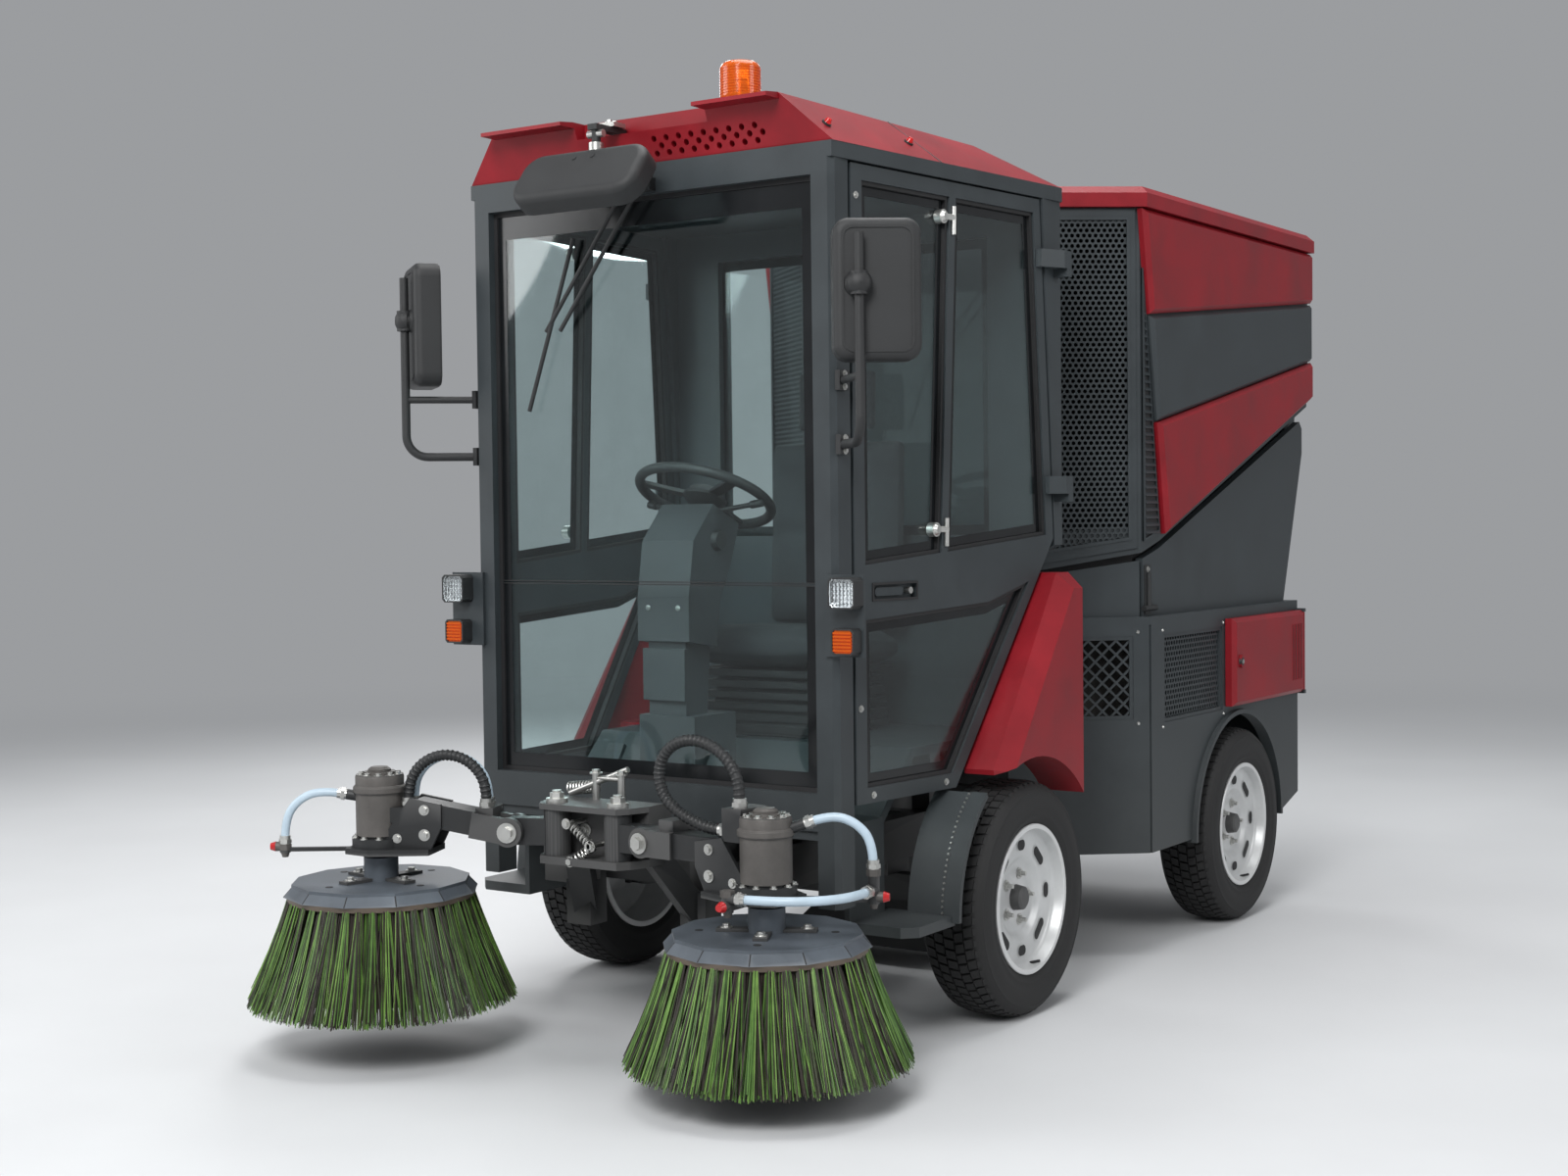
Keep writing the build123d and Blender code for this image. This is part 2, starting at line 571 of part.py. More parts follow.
# Rear body: side panels, angled corners, back panel, deck and grilles
MESH_Y = (565, 1045)
MESH_Z = (725, 1005)
corner_run = Vector(BODY_X - BODY_CORNER_X, BODY_CORNER_Y - BODY_FRONT_Y, 0)
CORNER_W = corner_run.length
CORNER_PLANE = Plane(
    origin=(BODY_CORNER_X, BODY_FRONT_Y, 0), x_dir=corner_run, z_dir=(corner_run.Y, -corner_run.X, 0)
)
CORNER_MESH = [(CORNER_W - 335, 745), (CORNER_W - 55, 745), (CORNER_W - 55, 1005), (CORNER_W - 335, 1005)]
LUG_ZS = ((728, 741), (1024, 1036))
with BuildPart() as left_panels:
    add(plate_yz([(BODY_CORNER_Y + GAP, BODY_LOW_Z), (BODY_REAR_Y - 155, BODY_LOW_Z), (BODY_REAR_Y, 370),
                  (BODY_REAR_Y, PANEL_TOP_Z), (BODY_CORNER_Y + GAP, PANEL_TOP_Z)], BODY_X - BODY_T, BODY_X))
    add(rod((500, REAR_AXLE_Y, TYRE_R), (800, REAR_AXLE_Y, TYRE_R), REAR_ARCH_R), mode=Mode.SUBTRACT)
    add(box(BODY_X - BODY_T, BODY_X, *MESH_Y, *MESH_Z), mode=Mode.SUBTRACT)
    add(plate_on(CORNER_PLANE, [(6, BODY_LOW_Z), (CORNER_W - 4, BODY_LOW_Z), (CORNER_W - 4, PANEL_TOP_Z),
                                (6, PANEL_TOP_Z)], -18))
    add(plate_on(CORNER_PLANE, CORNER_MESH, -18), mode=Mode.SUBTRACT)
    for z0, z1 in LUG_ZS:
        add(box(BODY_X, BODY_X + 32, BODY_REAR_Y - 17, BODY_REAR_Y, z0, z1))
    add(rod((*HATCH_PIN_AT, LUG_ZS[0][0] + 5), (*HATCH_PIN_AT, LUG_ZS[1][1] - 5), HATCH_PIN_R))
with BuildPart() as body_panels:
    add(both_sides(left_panels.part))
    add(box(BODY_T + GAP - BODY_X, BODY_X - BODY_T - GAP, BODY_REAR_Y - BODY_T, BODY_REAR_Y, 400, PANEL_TOP_Z))
save(body_panels.part, "body_panels")

with BuildPart() as body_deck:
    add(plate_xy([
        (-BODY_X, BODY_CORNER_Y), (-BODY_CORNER_X, BODY_FRONT_Y), (BODY_CORNER_X, BODY_FRONT_Y),
        (BODY_X, BODY_CORNER_Y), (BODY_X, BODY_REAR_Y), (-BODY_X, BODY_REAR_Y),
    ], PANEL_TOP_Z, LEDGE_Z))
    for side in (-1, 1):
        for y in (BODY_CORNER_Y + 40, BODY_REAR_Y - 85):
            add(box(side * RAIL_X - 25, side * RAIL_X + 25, y - 25, y + 25, RAIL_TOP_Z, PANEL_TOP_Z))
    add(rod((0, DUCT_TOP_Y, PANEL_TOP_Z - 5), (0, DUCT_TOP_Y, LEDGE_Z + 5), DUCT_R + 10), mode=Mode.SUBTRACT)
save(body_deck.part, "body_deck")

with BuildPart() as left_grilles:
    with BuildSketch(Plane.YZ.offset(BODY_X - 16)):
        with Locations((sum(MESH_Y) / 2, sum(MESH_Z) / 2)):
            Rectangle(MESH_Y[1] - MESH_Y[0], MESH_Z[1] - MESH_Z[0])
            with GridLocations(46, 44, 10, 6):
                Rectangle(34, 32, mode=Mode.SUBTRACT)
    extrude(amount=GRILLE_T)
    with BuildSketch(CORNER_PLANE.offset(-12)):
        with BuildLine():
            Polyline(*CORNER_MESH, close=True)
        make_face()
        with Locations((CORNER_W - 195, 875)):
            with GridLocations(52, 48, 5, 5):
                Rectangle(28, 28, rotation=45, mode=Mode.SUBTRACT)
    extrude(amount=GRILLE_T)
save(both_sides(left_grilles.part), "body_grilles")

# Red service hatches with louvre slots, hung at their rear edge
HATCH_FACE_X = BODY_X + 2 + HATCH_T
HATCH_FRONT_Y = MESH_Y[1] + 20
HATCH_Z = (LUG_ZS[0][0] + 7, LUG_ZS[1][1] - 6)
with BuildPart() as hatch_left:
    add(plate_yz([(HATCH_FRONT_Y, HATCH_Z[0]), (BODY_REAR_Y - 30, HATCH_Z[0]), (BODY_REAR_Y - 25, HATCH_Z[1]),
                  (HATCH_FRONT_Y, HATCH_Z[1])], BODY_X + 2, HATCH_FACE_X))
    chamfer(hatch_left.faces().sort_by(Axis.X)[-1].edges(), 14)
    with BuildSketch(Plane.YZ.offset(BODY_X)):
        with Locations((BODY_REAR_Y - 105, 885)):
            with GridLocations(26, 1, 4, 1):
                Rectangle(11, 190)
    extrude(amount=60, mode=Mode.SUBTRACT)
    with BuildSketch(Plane.YZ.offset(HATCH_FACE_X)):
        with Locations((HATCH_FRONT_Y + 45, 885)):
            Ellipse(12, 22)
    extrude(amount=8)
    add(rod((*HATCH_PIN_AT, LUG_ZS[0][1] + 1), (*HATCH_PIN_AT, LUG_ZS[1][0] - 1), 11))
    add(box(BODY_X + 12, BODY_X + 28, BODY_REAR_Y - 40, BODY_REAR_Y - 15, 760, 1010))
    add(rod((*HATCH_PIN_AT, 700), (*HATCH_PIN_AT, 1060), HATCH_PIN_R + RUN), mode=Mode.SUBTRACT)
save(hatch_left.part, "hatch_left")
save(mirror(hatch_left.part, about=Plane.YZ), "hatch_right")

# Fixed support under the hopper, with the tip pins
hopper_run = Vector(HOPPER_X - HOPPER_CORNER_X, HOPPER_CORNER_Y - HOPPER_FRONT_Y, 0)
HOPPER_W = hopper_run.length
HOPPER_PLANE = Plane(
    origin=(HOPPER_CORNER_X, HOPPER_FRONT_Y, 0), x_dir=hopper_run, z_dir=(hopper_run.Y, -hopper_run.X, 0)
)
with BuildPart() as left_support:
    add(plate_yz([(474, LEDGE_Z), (1700, LEDGE_Z), (1895, 1600), (1895, 1690), (1870, 1715), (600, 1276), (474, 1246)],
                 664, 688))
    add(rod((600, TIP_Y, TIP_Z), (664, TIP_Y, TIP_Z), TIP_PIN_R))
    add(plate_on(HOPPER_PLANE, [(4, LEDGE_Z), (HOPPER_W - 6, LEDGE_Z), (HOPPER_W - 6, 1240), (4, 1186)], -20))
save(both_sides(left_support.part), "hopper_support")

# Tipping hopper, hollow and open at the back, with windows behind the perforated corners
FRONT_CUT = [(-400, 1000), (900, 1000), (900, 2500), (-400, 2500)]
SCREEN_WINDOW = [(35, 1330), (HOPPER_W - 35, 1345), (HOPPER_W - 35, 2285), (35, 2285)]
room_floor = [(max(y, HOPPER_FRONT_Y + HOPPER_WALL), z + 25) for y, z in HOPPER_FLOOR]
room_top = HOPPER_TOP_Z - HOPPER_WALL
with BuildPart() as hopper_room:
    add(plate_yz(room_floor + [(HOPPER_REAR_Y, room_top), (HOPPER_FRONT_Y + HOPPER_WALL, room_top)],
                 HOPPER_WALL - HOPPER_X, HOPPER_X - HOPPER_WALL))
    inner_cut = plate_on(HOPPER_PLANE.offset(-HOPPER_WALL), FRONT_CUT, 400)
    add(inner_cut, mode=Mode.SUBTRACT)
    add(mirror(inner_cut, about=Plane.YZ), mode=Mode.SUBTRACT)

with BuildPart() as hopper_shell:
    add(plate_yz(HOPPER_FLOOR + [(HOPPER_REAR_Y, HOPPER_TOP_Z), (HOPPER_FRONT_Y, HOPPER_TOP_Z)], -HOPPER_X, HOPPER_X))
    outer_cut = plate_on(HOPPER_PLANE, FRONT_CUT, 400)
    window_cut = plate_on(HOPPER_PLANE, SCREEN_WINDOW, -HOPPER_WALL - 1)
    for cut in (outer_cut, mirror(outer_cut, about=Plane.YZ), hopper_room.part, window_cut,
                mirror(window_cut, about=Plane.YZ)):
        add(cut, mode=Mode.SUBTRACT)
    add(rod((0, DUCT_TOP_Y, DUCT_TOP_Z), (0, DUCT_TOP_Y, 1400), DUCT_R - DUCT_T), mode=Mode.SUBTRACT)
    for side in (-1, 1):
        add(plate_yz([(TIP_Y - 45, 1650), (TIP_Y - 30, TIP_Z - 45), (TIP_Y + 30, TIP_Z - 45), (TIP_Y + 45, 1650),
                      (TIP_Y + 58, 1766), (TIP_Y - 60, 1740)], side * 610, side * 650))
        add(rod((side * 600, TIP_Y, TIP_Z), (side * 660, TIP_Y, TIP_Z), TIP_PIN_R + RUN), mode=Mode.SUBTRACT)
save(hopper_shell.part, "hopper_shell")

# Red side cladding with bevelled edges, and the lid with the tailgate's hinge lugs
CLAD_UPPER = [(445, HOPPER_TOP_Z - 4), (HOPPER_REAR_Y, HOPPER_TOP_Z - 4), (HOPPER_REAR_Y, 2152), (498, 2009)]
CLAD_LOWER = [(552, 1672), (HOPPER_REAR_Y, 1934), (HOPPER_REAR_Y, 1800), (610, 1322)]
LID_X = HOPPER_X + CLAD_T + 2
clad_panels = []
for outline in (CLAD_UPPER, CLAD_LOWER):
    with BuildPart() as panel:
        add(plate_yz(outline, HOPPER_X, HOPPER_X + CLAD_T))
        chamfer(panel.faces().sort_by(Axis.X)[-1].edges(), 14)
    clad_panels.append(both_sides(panel.part))
with BuildPart() as lid:
    add(plate_xy([(-LID_X, 450), (-HOPPER_CORNER_X, 175), (HOPPER_CORNER_X, 175), (LID_X, 450),
                  (LID_X, HOPPER_REAR_Y), (-LID_X, HOPPER_REAR_Y)], HOPPER_TOP_Z, HOPPER_TOP_Z + LID_T))
    chamfer(lid.faces().sort_by(Axis.Z)[-1].edges(), 22)
    add(box(-640, 640, 500, 1900, HOPPER_TOP_Z, HOPPER_TOP_Z + LID_T - 15), mode=Mode.SUBTRACT)
    for side in (-1, 1):
        for x in (438, 502):
            add(box(side * x - 8, side * x + 8, HOPPER_REAR_Y - 30, GATE_HINGE_Y + 14, GATE_HINGE_Z - 18,
                    GATE_HINGE_Z + 10))
        add(rod((side * 432, GATE_HINGE_Y, GATE_HINGE_Z), (side * 508, GATE_HINGE_Y, GATE_HINGE_Z), GATE_PIN_R))
with BuildPart() as hopper_cladding:
    for panel in clad_panels:
        add(panel)
    add(lid.part)
save(hopper_cladding.part, "hopper_cladding")

# Perforated corners and louvred side strips
with BuildPart() as left_hopper_grilles:
    with BuildSketch(HOPPER_PLANE):
        with BuildLine():
            Polyline((6, 1222), (HOPPER_W - 14, 1280), (HOPPER_W - 14, HOPPER_TOP_Z - 6), (6, HOPPER_TOP_Z - 6),
                     close=True)
        make_face()
        with Locations((HOPPER_W / 2, 1805)):
            with GridLocations(60, 60, 6, 16):
                Rectangle(32, 32, rotation=45, mode=Mode.SUBTRACT)
    extrude(amount=GRILLE_T)
    with BuildSketch(Plane.YZ.offset(HOPPER_X)):
        with BuildLine():
            Polyline((HOPPER_CORNER_Y + 12, 1300), (590, 1330), (HOPPER_CORNER_Y + 12, 2150), close=True)
        make_face()
        for z in range(1345, 1900, 55):
            slot_w = (2020 - z) / 7
            with Locations((HOPPER_CORNER_Y + 22 + slot_w / 2, z)):
                Rectangle(slot_w, 24, mode=Mode.SUBTRACT)
    extrude(amount=GRILLE_T)
save(both_sides(left_hopper_grilles.part), "hopper_grilles")

# Tailgate hung from the lid
with BuildPart() as hopper_tailgate:
    add(box(2 - HOPPER_X, HOPPER_X - 2, HOPPER_REAR_Y + GAP, HOPPER_REAR_Y + 20, 1790, HOPPER_TOP_Z - 3))
    for x in (-560, -190, 190, 560):
        add(box(x - 20, x + 20, HOPPER_REAR_Y + 18, HOPPER_REAR_Y + 26, 1800, HOPPER_TOP_Z - 20))
    for side in (-1, 1):
        hinge_in = (side * 452, GATE_HINGE_Y, GATE_HINGE_Z)
        hinge_out = (side * 488, GATE_HINGE_Y, GATE_HINGE_Z)
        add(rod(hinge_in, hinge_out, 16))
        add(box(side * 452, side * 488, GATE_HINGE_Y - 12, GATE_HINGE_Y, HOPPER_TOP_Z - 40, GATE_HINGE_Z))
        add(rod(hinge_in, hinge_out, GATE_PIN_R + RUN), mode=Mode.SUBTRACT)
save(hopper_tailgate.part, "hopper_tailgate")

# Wheels, each about its own axle with the outer face towards +X
with BuildPart() as tyre:
    with BuildSketch(Plane.XY):
        with BuildLine():
            Polyline(
                (-75, SEAT_R + 0.3), (-TYRE_HALF_W, 240), (-TYRE_HALF_W, 272), (-88, 305), (-72, TYRE_R - 6),
                (-40, TYRE_R), (40, TYRE_R), (72, TYRE_R - 6), (88, 305), (TYRE_HALF_W, 272), (TYRE_HALF_W, 240),
                (75, SEAT_R + 0.3), close=True,
            )
        make_face()
    revolve(axis=Axis.X)

with BuildPart() as rim:
    with BuildSketch(Plane.XY):
        with BuildLine():
            Polyline(
                (-88, RIM_R), (-82, RIM_R), (-82, SEAT_R), (82, SEAT_R), (82, RIM_R), (88, RIM_R), (88, 192), (46, 190),
                (38, 165), (54, 100), (54, SPINDLE_R + RUN), (42, SPINDLE_R + RUN), (42, 98), (26, 163), (30, 188),
                (-88, 192), close=True,
            )
        make_face()
    revolve(axis=Axis.X)
    with BuildSketch(Plane.YZ.offset(10)):
        with PolarLocations(138, 4):
            Circle(13)
        with PolarLocations(138, 4, start_angle=45):
            SlotOverall(66, 26, rotation=90)
    extrude(amount=60, mode=Mode.SUBTRACT)

WHEELS = [
    ("fl", 1, FRONT_WHEEL_X, FRONT_AXLE_Y),
    ("fr", -1, FRONT_WHEEL_X, FRONT_AXLE_Y),
    ("rl", 1, REAR_WHEEL_X, REAR_AXLE_Y),
    ("rr", -1, REAR_WHEEL_X, REAR_AXLE_Y),
]
for name, side, x, y in WHEELS:
    place = Location((side * x, y, TYRE_R), (0, 0, 0 if side > 0 else 180))
    save(tyre.part.moved(place), f"tyre_{name}")
    save(rim.part.moved(place), f"rim_{name}")

# Steering knuckles
with BuildPart() as knuckle_left:
    for z0, z1 in ((TYRE_R - 72, TYRE_R - 42.3), (TYRE_R + 43.3, TYRE_R + 73)):
        add(rod((KINGPIN_X, FRONT_AXLE_Y, z0), (KINGPIN_X, FRONT_AXLE_Y, z1), 30))
        add(box(KINGPIN_X, 640, FRONT_AXLE_Y - 25, FRONT_AXLE_Y + 25, z0, z1))
    add(box(622, 640, FRONT_AXLE_Y - 40, FRONT_AXLE_Y + 40, TYRE_R - 72, TYRE_R + 73))
    add(rod((KINGPIN_X, FRONT_AXLE_Y, TYRE_R - 60), (KINGPIN_X, FRONT_AXLE_Y, TYRE_R + 60), KINGPIN_R))
    add(rod((630, FRONT_AXLE_Y, TYRE_R), (FRONT_WHEEL_X + 60, FRONT_AXLE_Y, TYRE_R), SPINDLE_R))
save(knuckle_left.part, "knuckle_left")
save(mirror(knuckle_left.part, about=Plane.YZ), "knuckle_right")

# Hose routes in the arm's own frame, which starts at the swing pin and points along +X
UP = (0, 0, 1)
OUT = (1, 0, 0)
BACK = (0, 1, 0)
VALVE_X = (165, 212)
VALVE_TOP = 60
WATER_LEFT = walk((ARM_LENGTH + 85, 45, 76), (0.884, 0.468, 0), UP, (20, -15, -50, -90), 64)
SPRAY_HEADINGS = (-80, -105, -130, -150, -165)
spray_from = walk((WATER_LEFT[-1].X, WATER_LEFT[-1].Y, -80), OUT, BACK, SPRAY_HEADINGS[:1], 22)[-1]
SPRAY_LEFT = walk(tuple(spray_from), OUT, BACK, SPRAY_HEADINGS, 75)
spray_end = walk(tuple(SPRAY_LEFT[-1]), OUT, BACK, SPRAY_HEADINGS[-1:], 22)[-1]
LOOP_LEFT = walk((385, -20, 50), OUT, UP, (180, 165, 160, 140, 105, 65, 30, 5, -15, -35, -60, -90), 58)
WATER_RIGHT = walk((ARM_LENGTH + 85, -17, 90), (0.981, -0.196, 0), UP, (10, -20, -55, -90), 66)
HALF_TURN = (90, 60, 30, 0, -30, -60, -90)
half_turn_span = sum(math.cos(math.radians(heading)) for heading in HALF_TURN)
LOOP_RIGHT = walk((186, -14, VALVE_TOP), OUT, UP, HALF_TURN, 214 / half_turn_span)
LINE_RIGHT = walk((190, 20, VALVE_TOP), OUT, UP, HALF_TURN, 206 / half_turn_span)

# Brush heads, built for the left side, then turned or mirrored into place
with BuildPart() as swing:
    add(rod((0, 0, LUG_LOW[1] + 0.3 - PIVOT_Z), (0, 0, LUG_TOP[0] - 0.3 - PIVOT_Z), 36))
    add(rod((0, 0, LUG_LOW[0] - PIVOT_Z), (0, 0, LUG_TOP[1] - PIVOT_Z), PIVOT_R))
    add(box(0, LIFT_REACH, -25, 25, -35, 35))
    add(rod((LIFT_REACH, -25, 0), (LIFT_REACH, 25, 0), 35))
    add(rod((LIFT_REACH, -54, 0), (LIFT_REACH, 54, 0), LIFT_PIN_R))


def arm_part(rise, block_low, block_top, glands, nozzles):
    with BuildPart() as piece:
        for y0, y1 in ((-50, -30), (30, 50)):
            add(rod((LIFT_REACH, y0, 0), (LIFT_REACH, y1, 0), 38))
            add(bar((LIFT_REACH, (y0 + y1) / 2, 0), (220, (y0 + y1) / 2, rise * 0.35), 20, 66))
        add(bar((190, 0, rise * 0.3), (380, 0, rise), 80, 62))
        for y0, y1 in ((-48, -38), (38, 48)):
            add(plate_xz([(300, rise + 20), (385, rise + 36), (ARM_LENGTH - 20, rise - 75), (ARM_LENGTH - 20, rise - 100),
                          (330, rise - 100), (300, rise - 40)], y0, y1))
        add(plate_xy([(330, -62), (ARM_LENGTH, -95), (ARM_LENGTH + 75, -60), (ARM_LENGTH + 75, 60), (ARM_LENGTH, 95),
                      (330, 62)], rise - 112, rise - 96))
        for z0, z1, radius in ((-96, -72, 74), (-72, 45, MOTOR_R), (45, 62, 68), (62, 92, 62), (92, 100, 40)):
            add(rod((ARM_LENGTH, 0, rise + z0), (ARM_LENGTH, 0, rise + z1), radius))
        add(box(385, ARM_LENGTH - 40, -45, 55, block_low, block_top))
        add(box(*VALVE_X, -28, 60, rise * 0.3, VALVE_TOP))
        for start, end in glands:
            add(rod(tuple(start), tuple(end), HOSE_R + 3))
        for x, y, top in nozzles:
            reach = math.hypot(x - ARM_LENGTH, y)
            root = (ARM_LENGTH + 70 * (x - ARM_LENGTH) / reach, 70 * y / reach, rise - 104)
            add(bar(root, (x, y, rise - 104), 16, 10))
            add(rod((x, y, rise - 112), (x, y, top), NOZZLE_R))
        add(rod((LIFT_REACH, -60, 0), (LIFT_REACH, 60, 0), LIFT_PIN_R + RUN), mode=Mode.SUBTRACT)
        add(rod((ARM_LENGTH, 0, rise - 120), (ARM_LENGTH, 0, rise - 60), SHAFT_R + RUN), mode=Mode.SUBTRACT)
    return piece.part


def gland(points, depth):
    return points[0] - (points[1] - points[0]).normalized() * depth, points[0]


arm_left = arm_part(
    0, 28, LOOP_LEFT[-1].Z,
    glands=[gland(WATER_LEFT, 45), gland(SPRAY_LEFT, 22), (spray_end, SPRAY_LEFT[-1])],
    nozzles=[tuple(WATER_LEFT[-1]), (spray_end.X, spray_end.Y, -62)],
)
arm_right = arm_part(
    RIGHT_RISE, 20, VALVE_TOP,
    glands=[gland(WATER_RIGHT, 45)],
    nozzles=[tuple(WATER_RIGHT[-1])],
)

with BuildPart() as brush_plate:
    for z, radius in ((-PLATE_DROP - 32, PLATE_R), (-PLATE_DROP - 8, PLATE_R - 22)):
        with BuildSketch(Plane.XY.offset(z)):
            RegularPolygon(radius, 12)
    loft()
    with BuildSketch(Plane.XY.offset(-PLATE_DROP - 8)):
        RegularPolygon(PLATE_R - 22, 12)
    extrude(amount=8)
    add(rod((0, 0, -PLATE_DROP), (0, 0, -125), 45))
    add(rod((0, 0, -130), (0, 0, -65), SHAFT_R))

with BuildPart() as tuft:
    for radius, z, deep, wide in ((PLATE_R - 32, -PLATE_DROP - 40, 34, 42), (TIP_R - 16, -TIP_DROP, 30, 64)):
        with BuildSketch(Plane.XY.offset(z)):
            with Locations((radius, 0)):
                Rectangle(deep, wide)
    loft()
with BuildPart() as bristles:
    add(rod((0, 0, -PLATE_DROP - 46), (0, 0, -PLATE_DROP - 32), PLATE_R - 12))
    for turn in range(TUFTS):
        add(tuft.part.moved(Location((0, 0, 0), (0, 0, turn * 360 / TUFTS))))

HOSES_LEFT = [
    ("hose_water_left", HOSE_R, WATER_LEFT),
    ("hose_spray_left", HOSE_R, SPRAY_LEFT),
    ("hose_loop_left", LOOP_R, LOOP_LEFT),
]
HOSES_RIGHT = [
    ("hose_water_right", HOSE_R, WATER_RIGHT),
    ("hose_loop_right", LOOP_R, LOOP_RIGHT),
    ("hose_line_right", HOSE_R, LINE_RIGHT),
]
BRUSHES = [
    ("left", 1, LEFT_FORWARD, 0, arm_left, HOSES_LEFT),
    ("right", -1, RIGHT_FORWARD, RIGHT_RISE, arm_right, HOSES_RIGHT),
]
for name, side, forward, rise, arm, hoses in BRUSHES:
    place = Location((PIVOT_X, PIVOT_Y, PIVOT_Z), (0, 0, -forward))
    head = place * Location((ARM_LENGTH, 0, rise))
    pieces = [
        (f"swing_{name}", swing.part.moved(place)),
        (f"arm_{name}", arm.moved(place)),
        (f"plate_{name}", brush_plate.part.moved(head)),
        (f"bristles_{name}", bristles.part.moved(head)),
    ]
    for hose_name, radius, points in hoses:
        bends = bends_of(points)
        hose = pipe(points, bends, radius)
        route = [(place * Location(tuple(point))).position for point in points]
        print(hose_name, "bend radii", [round(bend) for bend in bends])
        print("  length by volume", round(hose.volume / radius**2 / math.pi))
        print("  route", [(round(side * p.X, 1), round(p.Y, 1), round(p.Z, 1)) for p in route])
        pieces.append((hose_name, hose.moved(place)))
    for piece_name, solid in pieces:
        save(solid if side > 0 else mirror(solid, about=Plane.YZ), piece_name)
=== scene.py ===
import math
import random

import bmesh
import bpy
from mathutils import Matrix, Vector


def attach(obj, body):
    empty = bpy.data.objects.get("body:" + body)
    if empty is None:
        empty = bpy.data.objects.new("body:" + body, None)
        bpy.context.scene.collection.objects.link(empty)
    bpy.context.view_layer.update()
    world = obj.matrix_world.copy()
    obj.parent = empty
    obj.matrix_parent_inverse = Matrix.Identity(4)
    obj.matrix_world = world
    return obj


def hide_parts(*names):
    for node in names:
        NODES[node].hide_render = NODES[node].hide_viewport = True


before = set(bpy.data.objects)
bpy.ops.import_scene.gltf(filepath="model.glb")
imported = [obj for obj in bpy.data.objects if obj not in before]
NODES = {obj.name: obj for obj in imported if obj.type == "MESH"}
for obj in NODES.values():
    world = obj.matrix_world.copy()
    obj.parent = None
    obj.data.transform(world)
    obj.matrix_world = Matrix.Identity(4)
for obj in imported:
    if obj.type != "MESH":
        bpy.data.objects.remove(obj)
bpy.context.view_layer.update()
SCENE = bpy.context.scene
random.seed(11)

# Sizes repeated from the part, in metres
TYRE_R = 0.327
RIM_EDGE = 0.208
FRONT_AXLE_Y = -0.430
REAR_AXLE_Y = 1.170
AXLES = {
    "fl": (0.672, FRONT_AXLE_Y),
    "fr": (-0.672, FRONT_AXLE_Y),
    "rl": (0.656, REAR_AXLE_Y),
    "rr": (-0.656, REAR_AXLE_Y),
}
ARM_LENGTH = 0.485
LIFT_REACH = 0.120
PIVOT = (0.100, -1.430, 0.585)
PLATE_DROP = 0.185
TIP_R = 0.348
TIP_DROP = 0.505
DOOR_TURN = math.atan(90 / 870)
IDENTITY = Matrix.Identity(4)
MIRROR = Matrix.Scale(-1, 4, (1, 0, 0))
SIDES = {"left": IDENTITY, "right": MIRROR}


# Materials
def new_shader(name):
    mat = bpy.data.materials.new(name)
    mat.use_nodes = True
    tree = mat.node_tree
    return mat, tree, tree.nodes["Principled BSDF"]


def node(tree, kind, **inputs):
    made = tree.nodes.new(kind)
    for key, value in inputs.items():
        made.inputs[key.replace("_", " ")].default_value = value
    return made


def ramp(tree, fac, stops):
    made = tree.nodes.new("ShaderNodeValToRGB")
    while len(made.color_ramp.elements) < len(stops):
        made.color_ramp.elements.new(0.5)
    for element, (place, colour) in zip(made.color_ramp.elements, stops):
        element.position = place
        element.color = (*colour, 1)
    tree.links.new(fac, made.inputs["Fac"])
    return made.outputs["Color"]


def shade(colour, factor):
    return tuple(min(1.0, c * factor) for c in colour)


def mix_colour(tree, factor, base, colour):
    mixed = tree.nodes.new("ShaderNodeMix")
    mixed.data_type = "RGBA"
    tree.links.new(factor, mixed.inputs["Factor"])
    tree.links.new(base, mixed.inputs["A"])
    mixed.inputs["B"].default_value = (*colour, 1)
    return mixed.outputs["Result"]


def mix_shader(tree, factor, first, second):
    choose = tree.nodes.new("ShaderNodeMixShader")
    for socket, source in zip(choose.inputs, (factor, first, second)):
        tree.links.new(source, socket)
    tree.links.new(choose.outputs[0], tree.nodes["Material Output"].inputs["Surface"])


